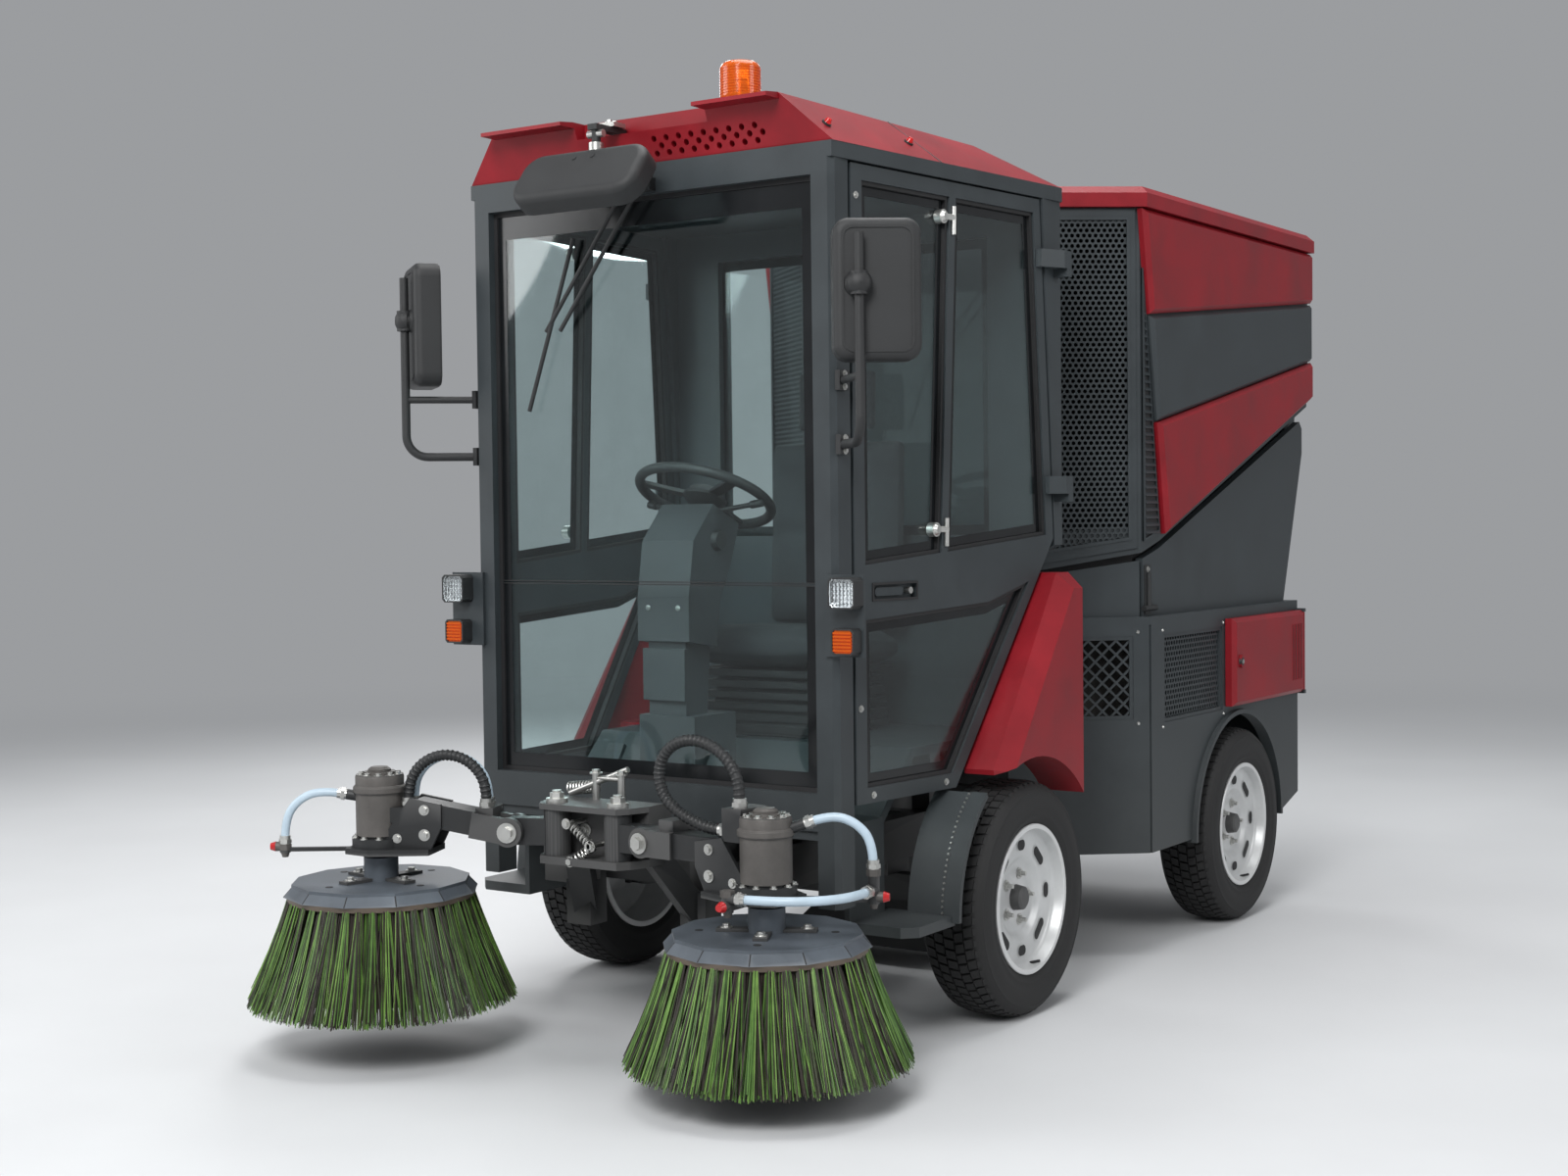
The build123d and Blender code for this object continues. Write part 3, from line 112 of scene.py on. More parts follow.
def surface(name, colour, rough, metal=0.0, spots=0.25, spot_scale=5.0, grain=0.12, grain_scale=350.0,
            worn=None, coat=0.0, dust=None, shine=0.5):
    mat, tree, bsdf = new_shader(name)
    link = tree.links.new
    place = tree.nodes.new("ShaderNodeTexCoord").outputs["Object"]
    broad = node(tree, "ShaderNodeTexNoise", Scale=spot_scale, Detail=8.0, Roughness=0.62)
    fine = node(tree, "ShaderNodeTexNoise", Scale=grain_scale, Detail=4.0, Roughness=0.55)
    link(place, broad.inputs["Vector"])
    link(place, fine.inputs["Vector"])
    stops = [(0.30, shade(colour, 1 - spots)), (0.72, shade(colour, 1 + spots))]
    tone = ramp(tree, broad.outputs["Fac"], stops)
    if dust:
        where = tree.nodes.new("ShaderNodeSeparateXYZ")
        link(place, where.inputs[0])
        low = node(tree, "ShaderNodeMapRange", From_Min=0.95, From_Max=0.15, To_Min=0.0, To_Max=0.55)
        link(where.outputs["Z"], low.inputs["Value"])
        streak = tree.nodes.new("ShaderNodeMath")
        streak.operation = "MULTIPLY"
        link(low.outputs["Result"], streak.inputs[0])
        link(broad.outputs["Fac"], streak.inputs[1])
        tone = mix_colour(tree, streak.outputs[0], tone, dust)
    if worn:
        edge = tree.nodes.new("ShaderNodeNewGeometry").outputs["Pointiness"]
        rim = node(tree, "ShaderNodeMapRange", From_Min=0.53, From_Max=0.60)
        link(edge, rim.inputs["Value"])
        tone = mix_colour(tree, rim.outputs["Result"], tone, worn)
    link(tone, bsdf.inputs["Base Color"])
    gloss = node(tree, "ShaderNodeMapRange", To_Min=max(0.02, rough - 0.10), To_Max=min(1.0, rough + 0.12))
    link(broad.outputs["Fac"], gloss.inputs["Value"])
    link(gloss.outputs["Result"], bsdf.inputs["Roughness"])
    bump = node(tree, "ShaderNodeBump", Strength=grain, Distance=0.002)
    link(fine.outputs["Fac"], bump.inputs["Height"])
    link(bump.outputs["Normal"], bsdf.inputs["Normal"])
    bsdf.inputs["Metallic"].default_value = metal
    bsdf.inputs["Specular IOR Level"].default_value = shine
    bsdf.inputs["Coat Weight"].default_value = coat
    bsdf.inputs["Coat Roughness"].default_value = 0.22
    return mat


def clear(name, colour, rough, smear=0.04, transmission=1.0):
    mat, tree, bsdf = new_shader(name)
    link = tree.links.new
    place = tree.nodes.new("ShaderNodeTexCoord").outputs["Object"]
    haze = node(tree, "ShaderNodeTexNoise", Scale=3.0, Detail=9.0, Roughness=0.7)
    link(place, haze.inputs["Vector"])
    tone = ramp(tree, haze.outputs["Fac"], [(0.25, shade(colour, 0.94)), (0.75, shade(colour, 1.04))])
    link(tone, bsdf.inputs["Base Color"])
    gloss = node(tree, "ShaderNodeMapRange", From_Min=0.45, From_Max=0.8, To_Min=rough, To_Max=rough + smear)
    link(haze.outputs["Fac"], gloss.inputs["Value"])
    link(gloss.outputs["Result"], bsdf.inputs["Roughness"])
    bsdf.inputs["Transmission Weight"].default_value = transmission
    bsdf.inputs["IOR"].default_value = 1.45
    ray = tree.nodes.new("ShaderNodeLightPath")
    through = node(tree, "ShaderNodeBsdfTransparent", Color=(*shade(colour, 0.95), 1))
    mix_shader(tree, ray.outputs["Is Shadow Ray"], bsdf.outputs[0], through.outputs[0])
    return mat


GREY = surface("satin_grey_paint", (0.029, 0.036, 0.040), 0.48, spots=0.20, dust=(0.06, 0.058, 0.052),
               shine=0.42)
RED = surface("deep_red_paint", (0.215, 0.0035, 0.0095), 0.44, spots=0.22, dust=(0.12, 0.025, 0.025),
              shine=0.36)
DARK = surface("chassis_paint", (0.013, 0.014, 0.015), 0.50, spots=0.30, worn=(0.06, 0.06, 0.06))
IRON = surface("cast_iron", (0.105, 0.098, 0.092), 0.52, metal=0.45, spots=0.35, grain=0.35, grain_scale=160)
COLUMN = surface("console_grey", (0.026, 0.029, 0.032), 0.56, spots=0.18, grain=0.25, grain_scale=700)
REFLECTOR = surface("lamp_reflector", (0.86, 0.87, 0.88), 0.22, metal=0.6, spots=0.10, grain=0.10,
                    grain_scale=90)
TAN = surface("brush_ring", (0.105, 0.080, 0.060), 0.60, spots=0.25)
PLASTIC = surface("moulded_black", (0.014, 0.015, 0.016), 0.55, spots=0.25, grain=0.30, grain_scale=900)
TRIM = surface("glossy_black_border", (0.006, 0.007, 0.008), 0.16, spots=0.30, grain=0.02)
RUBBER = surface("tyre_rubber", (0.0105, 0.0105, 0.0108), 0.74, spots=0.40, grain=0.30, grain_scale=260)
# Black rubber for seals and bellows, also used for dark strips and patches that are painted shade in gaps and
# openings.
SEAL_AND_SHADE = surface("seal_rubber_and_painted_shade", (0.010, 0.010, 0.011), 0.62, spots=0.25, grain=0.20)
SILVER = surface("wheel_silver", (0.56, 0.57, 0.57), 0.38, metal=0.35, spots=0.14, worn=(0.75, 0.75, 0.75),
                 coat=0.10)
ZINC = surface("zinc_plated", (0.52, 0.52, 0.50), 0.34, metal=0.95, spots=0.22, grain=0.15, grain_scale=120)
STEEL_PLATE = surface("brush_plate_paint", (0.085, 0.100, 0.118), 0.46, metal=0.25, spots=0.30,
                      worn=(0.25, 0.26, 0.27))
CLOTH = surface("seat_cloth", (0.026, 0.028, 0.031), 0.86, spots=0.35, grain=0.60, grain_scale=1400)
AMBER = clear("amber_lens", (0.66, 0.130, 0.006), 0.14, transmission=0.40)
RED_LENS = clear("red_lens", (0.75, 0.02, 0.02), 0.12, transmission=0.45)
LENS = clear("clear_lens", (0.95, 0.97, 0.98), 0.08)
GLASS = clear("tinted_glass", (0.80, 0.90, 0.90), 0.012)
MIRROR_GLASS = surface("mirror_glass", (0.75, 0.77, 0.78), 0.05, metal=1.0, spots=0.04, grain=0.0)
WATER_HOSE = surface("water_hose", (0.42, 0.52, 0.60), 0.36, spots=0.16, grain=0.10)
BLACK_HOSE = surface("hydraulic_hose", (0.014, 0.015, 0.016), 0.48, spots=0.30, grain=0.30)
RED_CAP = surface("red_cap", (0.42, 0.010, 0.012), 0.30, spots=0.15)
GREEN_A = surface("bristle_green", (0.072, 0.160, 0.026), 0.48, spots=0.35, spot_scale=30)
GREEN_B = surface("bristle_light_green", (0.130, 0.245, 0.045), 0.48, spots=0.30, spot_scale=30)
GREEN_C = surface("bristle_dark_green", (0.030, 0.068, 0.013), 0.52, spots=0.40, spot_scale=30)
BROWN = surface("bristle_brown", (0.022, 0.016, 0.011), 0.55, spots=0.40, spot_scale=30)

NODE_PAINT = {
    GREY: ["cab_floor", "cab_front_frame", "cab_rear_frame", "cab_roof_rail", "door_left", "door_right",
           "steps", "body_panels", "body_deck", "hopper_support", "hopper_shell", "hopper_tailgate"],
    RED: ["cab_roof", "mudguards", "hatch_left", "hatch_right", "hopper_cladding"],
    DARK: ["chassis_frame", "front_axle", "rear_axle", "brush_carrier", "knuckle_left", "knuckle_right",
           "swing_left", "swing_right", "arm_left", "arm_right"],
    IRON: ["engine"],
    PLASTIC: ["suction", "front_mirror", "side_mirrors", "wipers", "steering_wheel"],
    COLUMN: ["driver_controls"],
    GLASS: ["cab_glass", "door_glass_left", "door_glass_right"],
    SILVER: ["rim_fl", "rim_fr", "rim_rl", "rim_rr"],
    STEEL_PLATE: ["plate_left", "plate_right"],
}
for paint, names in NODE_PAINT.items():
    for name in names:
        NODES[name].data.materials.clear()
        NODES[name].data.materials.append(paint)


# Mesh helpers
def finish_piece(name, bm, body, paints, sharp=32, bevel=0.0):
    bmesh.ops.recalc_face_normals(bm, faces=bm.faces)
    mesh = bpy.data.meshes.new(name)
    bm.to_mesh(mesh)
    bm.free()
    obj = bpy.data.objects.new(name, mesh)
    SCENE.collection.objects.link(obj)
    for paint in paints:
        mesh.materials.append(paint)
    mesh.polygons.foreach_set("use_smooth", [True] * len(mesh.polygons))
    mesh.set_sharp_from_angle(angle=math.radians(sharp))
    if bevel:
        edge = obj.modifiers.new("edge", "BEVEL")
        edge.width = bevel
        edge.segments = 2
        edge.limit_method = "ANGLE"
        edge.angle_limit = math.radians(35)
    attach(obj, body)
    return obj


def aim(point, direction):
    return Matrix.Translation(point) @ Vector(direction).to_track_quat("Z", "Y").to_matrix().to_4x4()


def placed(point, degrees, axis):
    return Matrix.Translation(point) @ Matrix.Rotation(math.radians(degrees), 4, axis)


def turns(count, shift=0.0):
    return [2 * math.pi * (step + shift) / count for step in range(count)]


def spoke(turn):
    return Vector((math.cos(turn), math.sin(turn), 0))


def around(at, x, radius, turn):
    return at @ Vector((x, radius * math.cos(turn), radius * math.sin(turn)))


def rect(u0, v0, u1, v1):
    return [(u0, v0), (u1, v0), (u1, v1), (u0, v1)]


def on_plane(origin, along, out, side=IDENTITY):
    origin, along, out = Vector(origin), Vector(along).normalized(), Vector(out).normalized()

    def to_world(u, v, d):
        return side @ (origin + along * u + out * d + Vector((0, 0, v)))
    return to_world


def side_plane(x, side=IDENTITY):
    return on_plane((x, 0, 0), (0, 1, 0), (1, 0, 0), side)


def paint_made(made, mat):
    for face in {f for v in made["verts"] for f in v.link_faces}:
        face.material_index = mat


def put_skin(bm, rings, mat=0, wrap=True):
    count = len(rings[0])
    for here, after in zip(rings, rings[1:]):
        for i in range(count if wrap else count - 1):
            j = (i + 1) % count
            bm.faces.new((here[i], here[j], after[j], after[i])).material_index = mat


def put_box(bm, low, high, at=IDENTITY, mat=0):
    low, high = Vector(low), Vector(high)
    size = high - low
    matrix = at @ Matrix.Translation((low + high) / 2) @ Matrix.Diagonal((*size, 1))
    paint_made(bmesh.ops.create_cube(bm, size=1, matrix=matrix), mat)


def put_rod(bm, start, end, radius, end_radius=None, sides=20, at=IDENTITY, mat=0):
    start, end = at @ Vector(start), at @ Vector(end)
    made = bmesh.ops.create_cone(
        bm, cap_ends=True, segments=sides, radius1=radius,
        radius2=radius if end_radius is None else end_radius,
        depth=(end - start).length, matrix=aim((start + end) / 2, end - start),
    )
    paint_made(made, mat)


def put_bolt(bm, point, out, radius=0.008, at=IDENTITY, mat=0):
    out = Vector(out).normalized()
    point = Vector(point)
    put_rod(bm, point - out * 0.001, point + out * radius * 0.25, radius * 1.55, sides=18, at=at, mat=mat)
    put_rod(bm, point, point + out * radius * 0.95, radius, sides=6, at=at, mat=mat)


def put_plate(bm, outline, to_world, low, high, mat=0):
    rings = [[bm.verts.new(to_world(u, v, d)) for u, v in outline] for d in (low, high)]
    faces = [bm.faces.new(rings[0]), bm.faces.new(list(reversed(rings[1])))]
    count = len(outline)
    for i in range(count):
        j = (i + 1) % count
        faces.append(bm.faces.new((rings[0][i], rings[1][i], rings[1][j], rings[0][j])))
    for face in faces:
        face.material_index = mat


def put_ring(bm, outer, inner, to_world, low, high, mat=0):
    out_low, out_high, in_low, in_high = [
        [bm.verts.new(to_world(u, v, d)) for u, v in line] for line in (outer, inner) for d in (low, high)
    ]
    count = len(outer)
    for i in range(count):
        j = (i + 1) % count
        for quad in (
            (out_high[i], out_high[j], in_high[j], in_high[i]),
            (out_low[i], in_low[i], in_low[j], out_low[j]),
            (out_low[i], out_low[j], out_high[j], out_high[i]),
            (in_low[i], in_high[i], in_high[j], in_low[j]),
        ):
            bm.faces.new(quad).material_index = mat


def inset(outline, distance):
    count = len(outline)
    edges = [(Vector(outline[i]), Vector(outline[(i + 1) % count])) for i in range(count)]
    area = sum(p.x * q.y - q.x * p.y for p, q in edges)
    sign = 1 if area > 0 else -1
    lines = []
    for p, q in edges:
        along = (q - p).normalized()
        lines.append((p + sign * distance * Vector((-along.y, along.x)), along))
    result = []
    for i in range(count):
        (p, a), (q, b) = lines[i - 1], lines[i]
        cross = a.x * b.y - a.y * b.x
        t = ((q - p).x * b.y - (q - p).y * b.x) / cross
        result.append(tuple(p + a * t))
    return result


def put_lathe(bm, profile, at, sides=64, mat=0, wrap=True):
    rings = [[bm.verts.new(around(at, x, r, turn)) for x, r in profile] for turn in turns(sides)]
    put_skin(bm, rings + rings[:1], mat, wrap)


def smooth_line(points):
    curve = bpy.data.curves.new("line", "CURVE")
    curve.dimensions = "3D"
    spline = curve.splines.new("NURBS")
    spline.points.add(len(points) - 1)
    for target, point in zip(spline.points, points):
        target.co = (*point, 1)
    spline.order_u = 3
    spline.use_endpoint_u = True
    spline.resolution_u = 12
    return curve


# Camera at the photograph's viewing angle
CAMERA_AT = Vector((3.392, -5.563, 1.394))
CAMERA_TURN = (33.89, -1.99, -0.69)
SENSOR_MM = 36
FOCAL_PX = 2128
PHOTO_WIDE_PX = 1600
yaw, pitch, roll = (math.radians(a) for a in CAMERA_TURN)
forward = Vector((-math.sin(yaw) * math.cos(pitch), math.cos(yaw) * math.cos(pitch), math.sin(pitch)))
level = Vector((math.cos(yaw), math.sin(yaw), 0))
above = level.cross(forward)
right = level * math.cos(roll) + above * math.sin(roll)
up = above * math.cos(roll) - level * math.sin(roll)
camera_lens = bpy.data.cameras.new("camera")
camera_lens.sensor_width = SENSOR_MM
camera_lens.lens = SENSOR_MM * FOCAL_PX / PHOTO_WIDE_PX
camera = bpy.data.objects.new("camera", camera_lens)
camera_axes = Matrix((right, up, -forward)).transposed().to_4x4()
camera.matrix_world = Matrix.Translation(CAMERA_AT) @ camera_axes
SCENE.collection.objects.link(camera)
SCENE.camera = camera

# Plain pale floor, soft light
SCENE.view_settings.view_transform = "Standard"
SKY = (0.78, 0.80, 0.83)
SKY_STRENGTH = 0.42
FLOOR_R = 40.0
FADE = (4.5, 12.0)
world = bpy.data.worlds.new("studio")
world.use_nodes = True
sky = world.node_tree.nodes["Background"]
sky.inputs["Color"].default_value = (*SKY, 1)
sky.inputs["Strength"].default_value = SKY_STRENGTH
SCENE.world = world


def fade_to_sky(mat):
    tree = mat.node_tree
    link = tree.links.new
    reach = tree.nodes.new("ShaderNodeVectorMath")
    reach.operation = "LENGTH"
    link(tree.nodes.new("ShaderNodeTexCoord").outputs["Object"], reach.inputs[0])
    far = node(tree, "ShaderNodeMapRange", From_Min=FADE[0], From_Max=FADE[1])
    far.interpolation_type = "SMOOTHSTEP"
    link(reach.outputs["Value"], far.inputs["Value"])
    glow = node(tree, "ShaderNodeEmission", Color=(*SKY, 1), Strength=SKY_STRENGTH)
    mix_shader(tree, far.outputs["Result"], tree.nodes["Principled BSDF"].outputs[0], glow.outputs[0])
    return mat


bm = bmesh.new()
bmesh.ops.create_circle(bm, cap_ends=True, segments=96, radius=FLOOR_R)
floor_mesh = bpy.data.meshes.new("floor")
bm.to_mesh(floor_mesh)
bm.free()
floor = bpy.data.objects.new("floor", floor_mesh)
floor_paint = surface("pale_floor", (0.60, 0.61, 0.62), 0.60, spots=0.03, spot_scale=0.8, grain=0.02)
floor_mesh.materials.append(fade_to_sky(floor_paint))
SCENE.collection.objects.link(floor)

# name, place, target, size, power
LIGHTS = [
    ("key", (2.2, -7.0, 5.6), (0, -0.3, 1.0), 3.6, 520),
    ("fill", (-5.5, -4.5, 3.6), (0, -0.5, 1.0), 4.0, 170),
    ("top", (0.0, 0.3, 6.6), (0, 0.2, 0.8), 4.5, 260),
    ("side", (7.0, 0.5, 3.4), (0, 0.4, 1.0), 3.0, 105),
    ("rim", (-4.5, 4.8, 4.4), (0, 0.5, 1.2), 3.0, 160),
]
for name, place, target, size, power in LIGHTS:
    lamp = bpy.data.lights.new(name, "AREA")
    lamp.shape = "DISK"
    lamp.size = size
    lamp.energy = power
    lamp_object = bpy.data.objects.new(name, lamp)
    lamp_object.matrix_world = aim(place, Vector(place) - Vector(target))
    SCENE.collection.objects.link(lamp_object)

# Hoses on the brush arms
# name, body, radius, length, paint, route
HOSES = [
    ("hose_water_left", "brush_arm_l", 0.011, 0.250, WATER_HOSE, [
        (0.6718, -1.4349, 0.661), (0.7272, -1.4114, 0.6829), (0.7841, -1.3874, 0.6663),
        (0.822, -1.3714, 0.6173), (0.822, -1.3714, 0.5533)]),
    ("hose_spray_left", "brush_arm_l", 0.011, 0.372, WATER_HOSE, [
        (0.824, -1.3933, 0.505), (0.8305, -1.468, 0.505), (0.8048, -1.5385, 0.505),
        (0.7518, -1.5915, 0.505), (0.6838, -1.6232, 0.505), (0.61, -1.6362, 0.505)]),
    ("hose_loop_left", "brush_arm_l", 0.013, 0.686, BLACK_HOSE, [
        (0.4818, -1.4835, 0.635), (0.424, -1.4784, 0.635), (0.3682, -1.4735, 0.65),
        (0.3139, -1.4688, 0.6698), (0.2696, -1.4649, 0.7071), (0.2547, -1.4636, 0.7632),
        (0.2791, -1.4657, 0.8157), (0.3291, -1.4701, 0.8447), (0.3867, -1.4752, 0.8498),
        (0.4425, -1.48, 0.8348), (0.4898, -1.4842, 0.8015), (0.5187, -1.4867, 0.7513),
        (0.5187, -1.4867, 0.6933)]),
    ("hose_water_right", "brush_arm_r", 0.011, 0.259, WATER_HOSE, [
        (-0.618, -1.6684, 0.675), (-0.6718, -1.705, 0.6865), (-0.723, -1.74, 0.6639),
        (-0.7543, -1.7613, 0.6098), (-0.7543, -1.7613, 0.5438)]),
    ("hose_loop_right", "brush_arm_r", 0.013, 0.394, BLACK_HOSE, [
        (-0.2657, -1.5156, 0.645), (-0.2657, -1.5156, 0.7023), (-0.2921, -1.5268, 0.752),
        (-0.3378, -1.5462, 0.7807), (-0.3906, -1.5686, 0.7807), (-0.4363, -1.588, 0.752),
        (-0.4627, -1.5992, 0.7023), (-0.4627, -1.5992, 0.645)]),
    ("hose_line_right", "brush_arm_r", 0.011, 0.380, WATER_HOSE, [
        (-0.2827, -1.4858, 0.645), (-0.2827, -1.4858, 0.7002), (-0.3081, -1.4966, 0.748),
        (-0.3521, -1.5153, 0.7756), (-0.4029, -1.5369, 0.7756), (-0.4469, -1.5555, 0.748),
        (-0.4723, -1.5663, 0.7002), (-0.4723, -1.5663, 0.645)]),
]
for name, body, radius, length, paint, route in HOSES:
    points = [Vector(p) for p in route]
    curve = smooth_line(points)
    bare = bpy.data.objects.new("bare_line", curve)
    line = [v.co.copy() for v in bpy.data.meshes.new_from_object(bare).vertices]
    bpy.data.objects.remove(bare)
    curve.bevel_depth = radius
    curve.bevel_resolution = 5
    curve.use_fill_caps = True
    curve.materials.append(paint)
    hose = bpy.data.objects.new("visual_" + name, curve)
    SCENE.collection.objects.link(hose)
    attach(hose, body)
    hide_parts(name)
    bm = bmesh.new()
    for end, inward in ((line[0], line[1] - line[0]), (line[-1], line[-2] - line[-1])):
        inward = inward.normalized()
        put_rod(bm, end, end + inward * 0.024, radius * 1.30, sides=24)
        put_rod(bm, end + inward * 0.004, end + inward * 0.014, radius * 1.55, sides=6)
    finish_piece(name + "_ferrules", bm, body, [ZINC])
    if paint is BLACK_HOSE:
        bm = bmesh.new()
        walked = 0.0
        for before, here in zip(line, line[1:]):
            walked += (here - before).length
            if walked > 0.011:
                walked = 0.0
                along = (here - before).normalized()
                put_rod(bm, here - along * 0.0036, here, radius * 1.02, radius * 1.16, sides=16)
                put_rod(bm, here, here + along * 0.0036, radius * 1.16, radius * 1.02, sides=16)
        finish_piece(name + "_wrap", bm, body, [BLACK_HOSE])

# Brush heads
ARM_PLACE = {
    "left": placed(PIVOT, -5, "Z"),
    "right": MIRROR @ placed(PIVOT, -23, "Z"),
}
HEAD_RISE = {"left": 0.0, "right": 0.050}
TUFTS = 44
# root radius, strands, share of brown ones
TUFT_ROWS = [(0.235, 36, 0.36), (0.221, 16, 0.75), (0.206, 10, 0.90)]
STRAND_TOP = -PLATE_DROP - 0.034
UPRIGHT = Matrix.Rotation(math.radians(-90), 4, "Y")


def put_strand(bm, head, root_r, root_turn, tip_r, tip_turn, tip_z, half, tone):
    rows = []
    for step in range(5):
        t = step / 4
        radius = root_r + (tip_r - root_r) * (0.85 * t + 0.15 * t * t)
        turn = root_turn + (tip_turn - root_turn) * t
        z = STRAND_TOP + (tip_z - STRAND_TOP) * t
        out = spoke(turn)
        across = Vector((-out.y, out.x, 0)) * half * (1.0 - 0.25 * t)
        deep = out * half * 0.6
        centre = out * radius + Vector((0, 0, z))
        corners = (centre - across, centre - deep, centre + across, centre + deep)
        rows.append([bm.verts.new(head @ p) for p in corners])
    put_skin(bm, rows, tone)
    bm.faces.new(rows[-1]).material_index = tone


RING_PROFILE = [(-PLATE_DROP - 0.046, 0.150), (-PLATE_DROP - 0.046, 0.243), (-PLATE_DROP - 0.032, 0.247),
                (-PLATE_DROP - 0.032, 0.150)]
CORE_PROFILE = [(-PLATE_DROP - 0.044, 0.196), (-TIP_DROP + 0.040, 0.286), (-TIP_DROP + 0.040, 0.282),
                (-PLATE_DROP - 0.044, 0.190)]
MOTOR_PROFILE = [
    (-0.066, 0.058), (-0.066, 0.0632), (0.044, 0.0632), (0.044, 0.0665), (0.048, 0.0695), (0.060, 0.0695),
    (0.064, 0.0660), (0.066, 0.0635), (0.086, 0.0635), (0.0925, 0.0615), (0.0925, 0.042), (0.100, 0.041),
    (0.1005, 0.0),
]
# low, high, radius, sides
SWING_NUT = [(0.075, 0.086, 0.028, 32), (0.086, 0.100, 0.019, 6), (0.100, 0.106, 0.012, 24)]
MOTOR_CAP = [(0.100, 0.0), (0.112, 0.0), (0.112, 0.022), (0.106, 0.030), (0.100, 0.030)]
for side, place in ARM_PLACE.items():
    key = side[0]
    rise = HEAD_RISE[side]
    head = place @ Matrix.Translation((ARM_LENGTH, 0, rise))

    bm = bmesh.new()
    for tuft in range(TUFTS):
        for row, (row_r, strands, brown_share) in enumerate(TUFT_ROWS):
            middle = 2 * math.pi * (tuft + 0.5 * (row % 2)) / TUFTS
            for _ in range(strands):
                spread = random.gauss(0, 1)
                root_turn = middle + 0.017 * spread
                tip_turn = middle + 0.046 * spread + random.gauss(0, 0.022)
                root_r = row_r + random.uniform(-0.006, 0.006)
                tip_r = min(root_r + 0.104 + random.gauss(0, 0.007), TIP_R + 0.003)
                tip_z = -TIP_DROP + abs(random.gauss(0, 0.011))
                half = random.uniform(0.0013, 0.0022)
                chance = brown_share + 0.10 * abs(spread)
                pick = random.random()
                tone = 3 if pick < chance else random.choice((0, 0, 0, 1, 1, 2))
                put_strand(bm, head, root_r, root_turn, tip_r, tip_turn, tip_z, half, tone)
    put_lathe(bm, RING_PROFILE, head @ UPRIGHT, 72, mat=4)
    put_lathe(bm, CORE_PROFILE, head @ UPRIGHT, 64, mat=3)
    tones = [GREEN_A, GREEN_B, GREEN_C, BROWN, TAN]
    tines = finish_piece(f"bristle_strands_{side}", bm, f"brush_{key}", tones, sharp=60)
    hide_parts(f"bristles_{side}")

    bm = bmesh.new()
    seam_rise = Vector((0, 0, 0.012))
    for turn in turns(12):
        out = spoke(turn)
        ridge = Vector((0, 0, -PLATE_DROP - 0.020)) + out * 0.243
        put_rod(bm, ridge + seam_rise - out * 0.012, ridge - seam_rise + out * 0.010, 0.0022, sides=8,
                at=head, mat=1)
    lift = Vector((0, 0, -PLATE_DROP))
    for turn in turns(4, 0.35):
        out = spoke(turn)
        put_bolt(bm, out * 0.098 + lift + Vector((0, 0, 0.008)), (0, 0, 1), 0.010, at=head)
        bar = head @ Matrix.Rotation(turn, 4, "Z")
        put_box(bm, (0.030, -0.018, -PLATE_DROP), (0.122, 0.018, -PLATE_DROP + 0.008), at=bar, mat=2)
        hole = out * 0.165 + lift
        put_rod(bm, hole, hole + Vector((0, 0, 0.0012)), 0.010, sides=24, at=head, mat=1)
    finish_piece(f"brush_plate_bolts_{side}", bm, f"brush_{key}", [ZINC, SEAL_AND_SHADE, DARK], bevel=0.0012)

    bm = bmesh.new()
    for turn in turns(10):
        for bolt_r, z, size in ((0.050, 0.092, 0.0072), (0.066, -0.072, 0.0065)):
            spot = Vector((bolt_r * math.cos(turn), bolt_r * math.sin(turn), z))
            put_bolt(bm, spot, (0, 0, 1), size, at=head)
    put_lathe(bm, MOTOR_PROFILE, head @ UPRIGHT, 56, mat=1, wrap=False)
    put_lathe(bm, MOTOR_CAP, head @ UPRIGHT, 32, mat=1)
    arm_bolts = [
        (LIFT_REACH, 0.052, 0, 0.017), (0.345, 0.048, rise - 0.060, 0.010),
        (0.345, 0.048, rise + 0.005, 0.009), (0.420, 0.048, rise - 0.070, 0.008),
    ]
    for y in (-1, 1):
        for x, reach, z, size in arm_bolts:
            put_bolt(bm, (x, y * reach, z), (0, y, 0), size, at=place)
    finish_piece(f"arm_bolts_{side}", bm, f"brush_arm_{key}", [ZINC, IRON])

    bm = bmesh.new()
    for low, high, radius, count in SWING_NUT:
        put_rod(bm, (0, 0, low), (0, 0, high), radius, sides=count, at=place)
    finish_piece(f"swing_nut_{side}", bm, f"swing_{key}", [ZINC])

NOZZLES = {
    "left": [(0.822, -1.3714, 0.553), (0.5883, -1.6400, 0.523)],
    "right": [(-0.7543, -1.7613, 0.5438)],
}
for side, spots in NOZZLES.items():
    bm = bmesh.new()
    base = PIVOT[2] + HEAD_RISE[side] - 0.112
    middle = ARM_PLACE[side] @ Vector((ARM_LENGTH, 0, 0))
    for x, y, top in spots:
        away = Vector((x - middle.x, y - middle.y, 0)).normalized()
        spot = Vector((x, y, base + 0.016))
        put_rod(bm, spot, spot + away * 0.026, 0.0125, sides=24, mat=1)
        put_rod(bm, spot + away * 0.024, spot + away * 0.038, 0.0135, 0.009, sides=24)
        put_rod(bm, (x, y, top - 0.014), (x, y, top + 0.002), 0.0175, sides=6, mat=1)
        put_rod(bm, (x, y, base - 0.012), (x, y, base + 0.001), 0.008, 0.012, sides=24, mat=1)
    finish_piece(f"nozzle_caps_{side}", bm, f"brush_arm_{side[0]}", [RED_CAP, IRON])

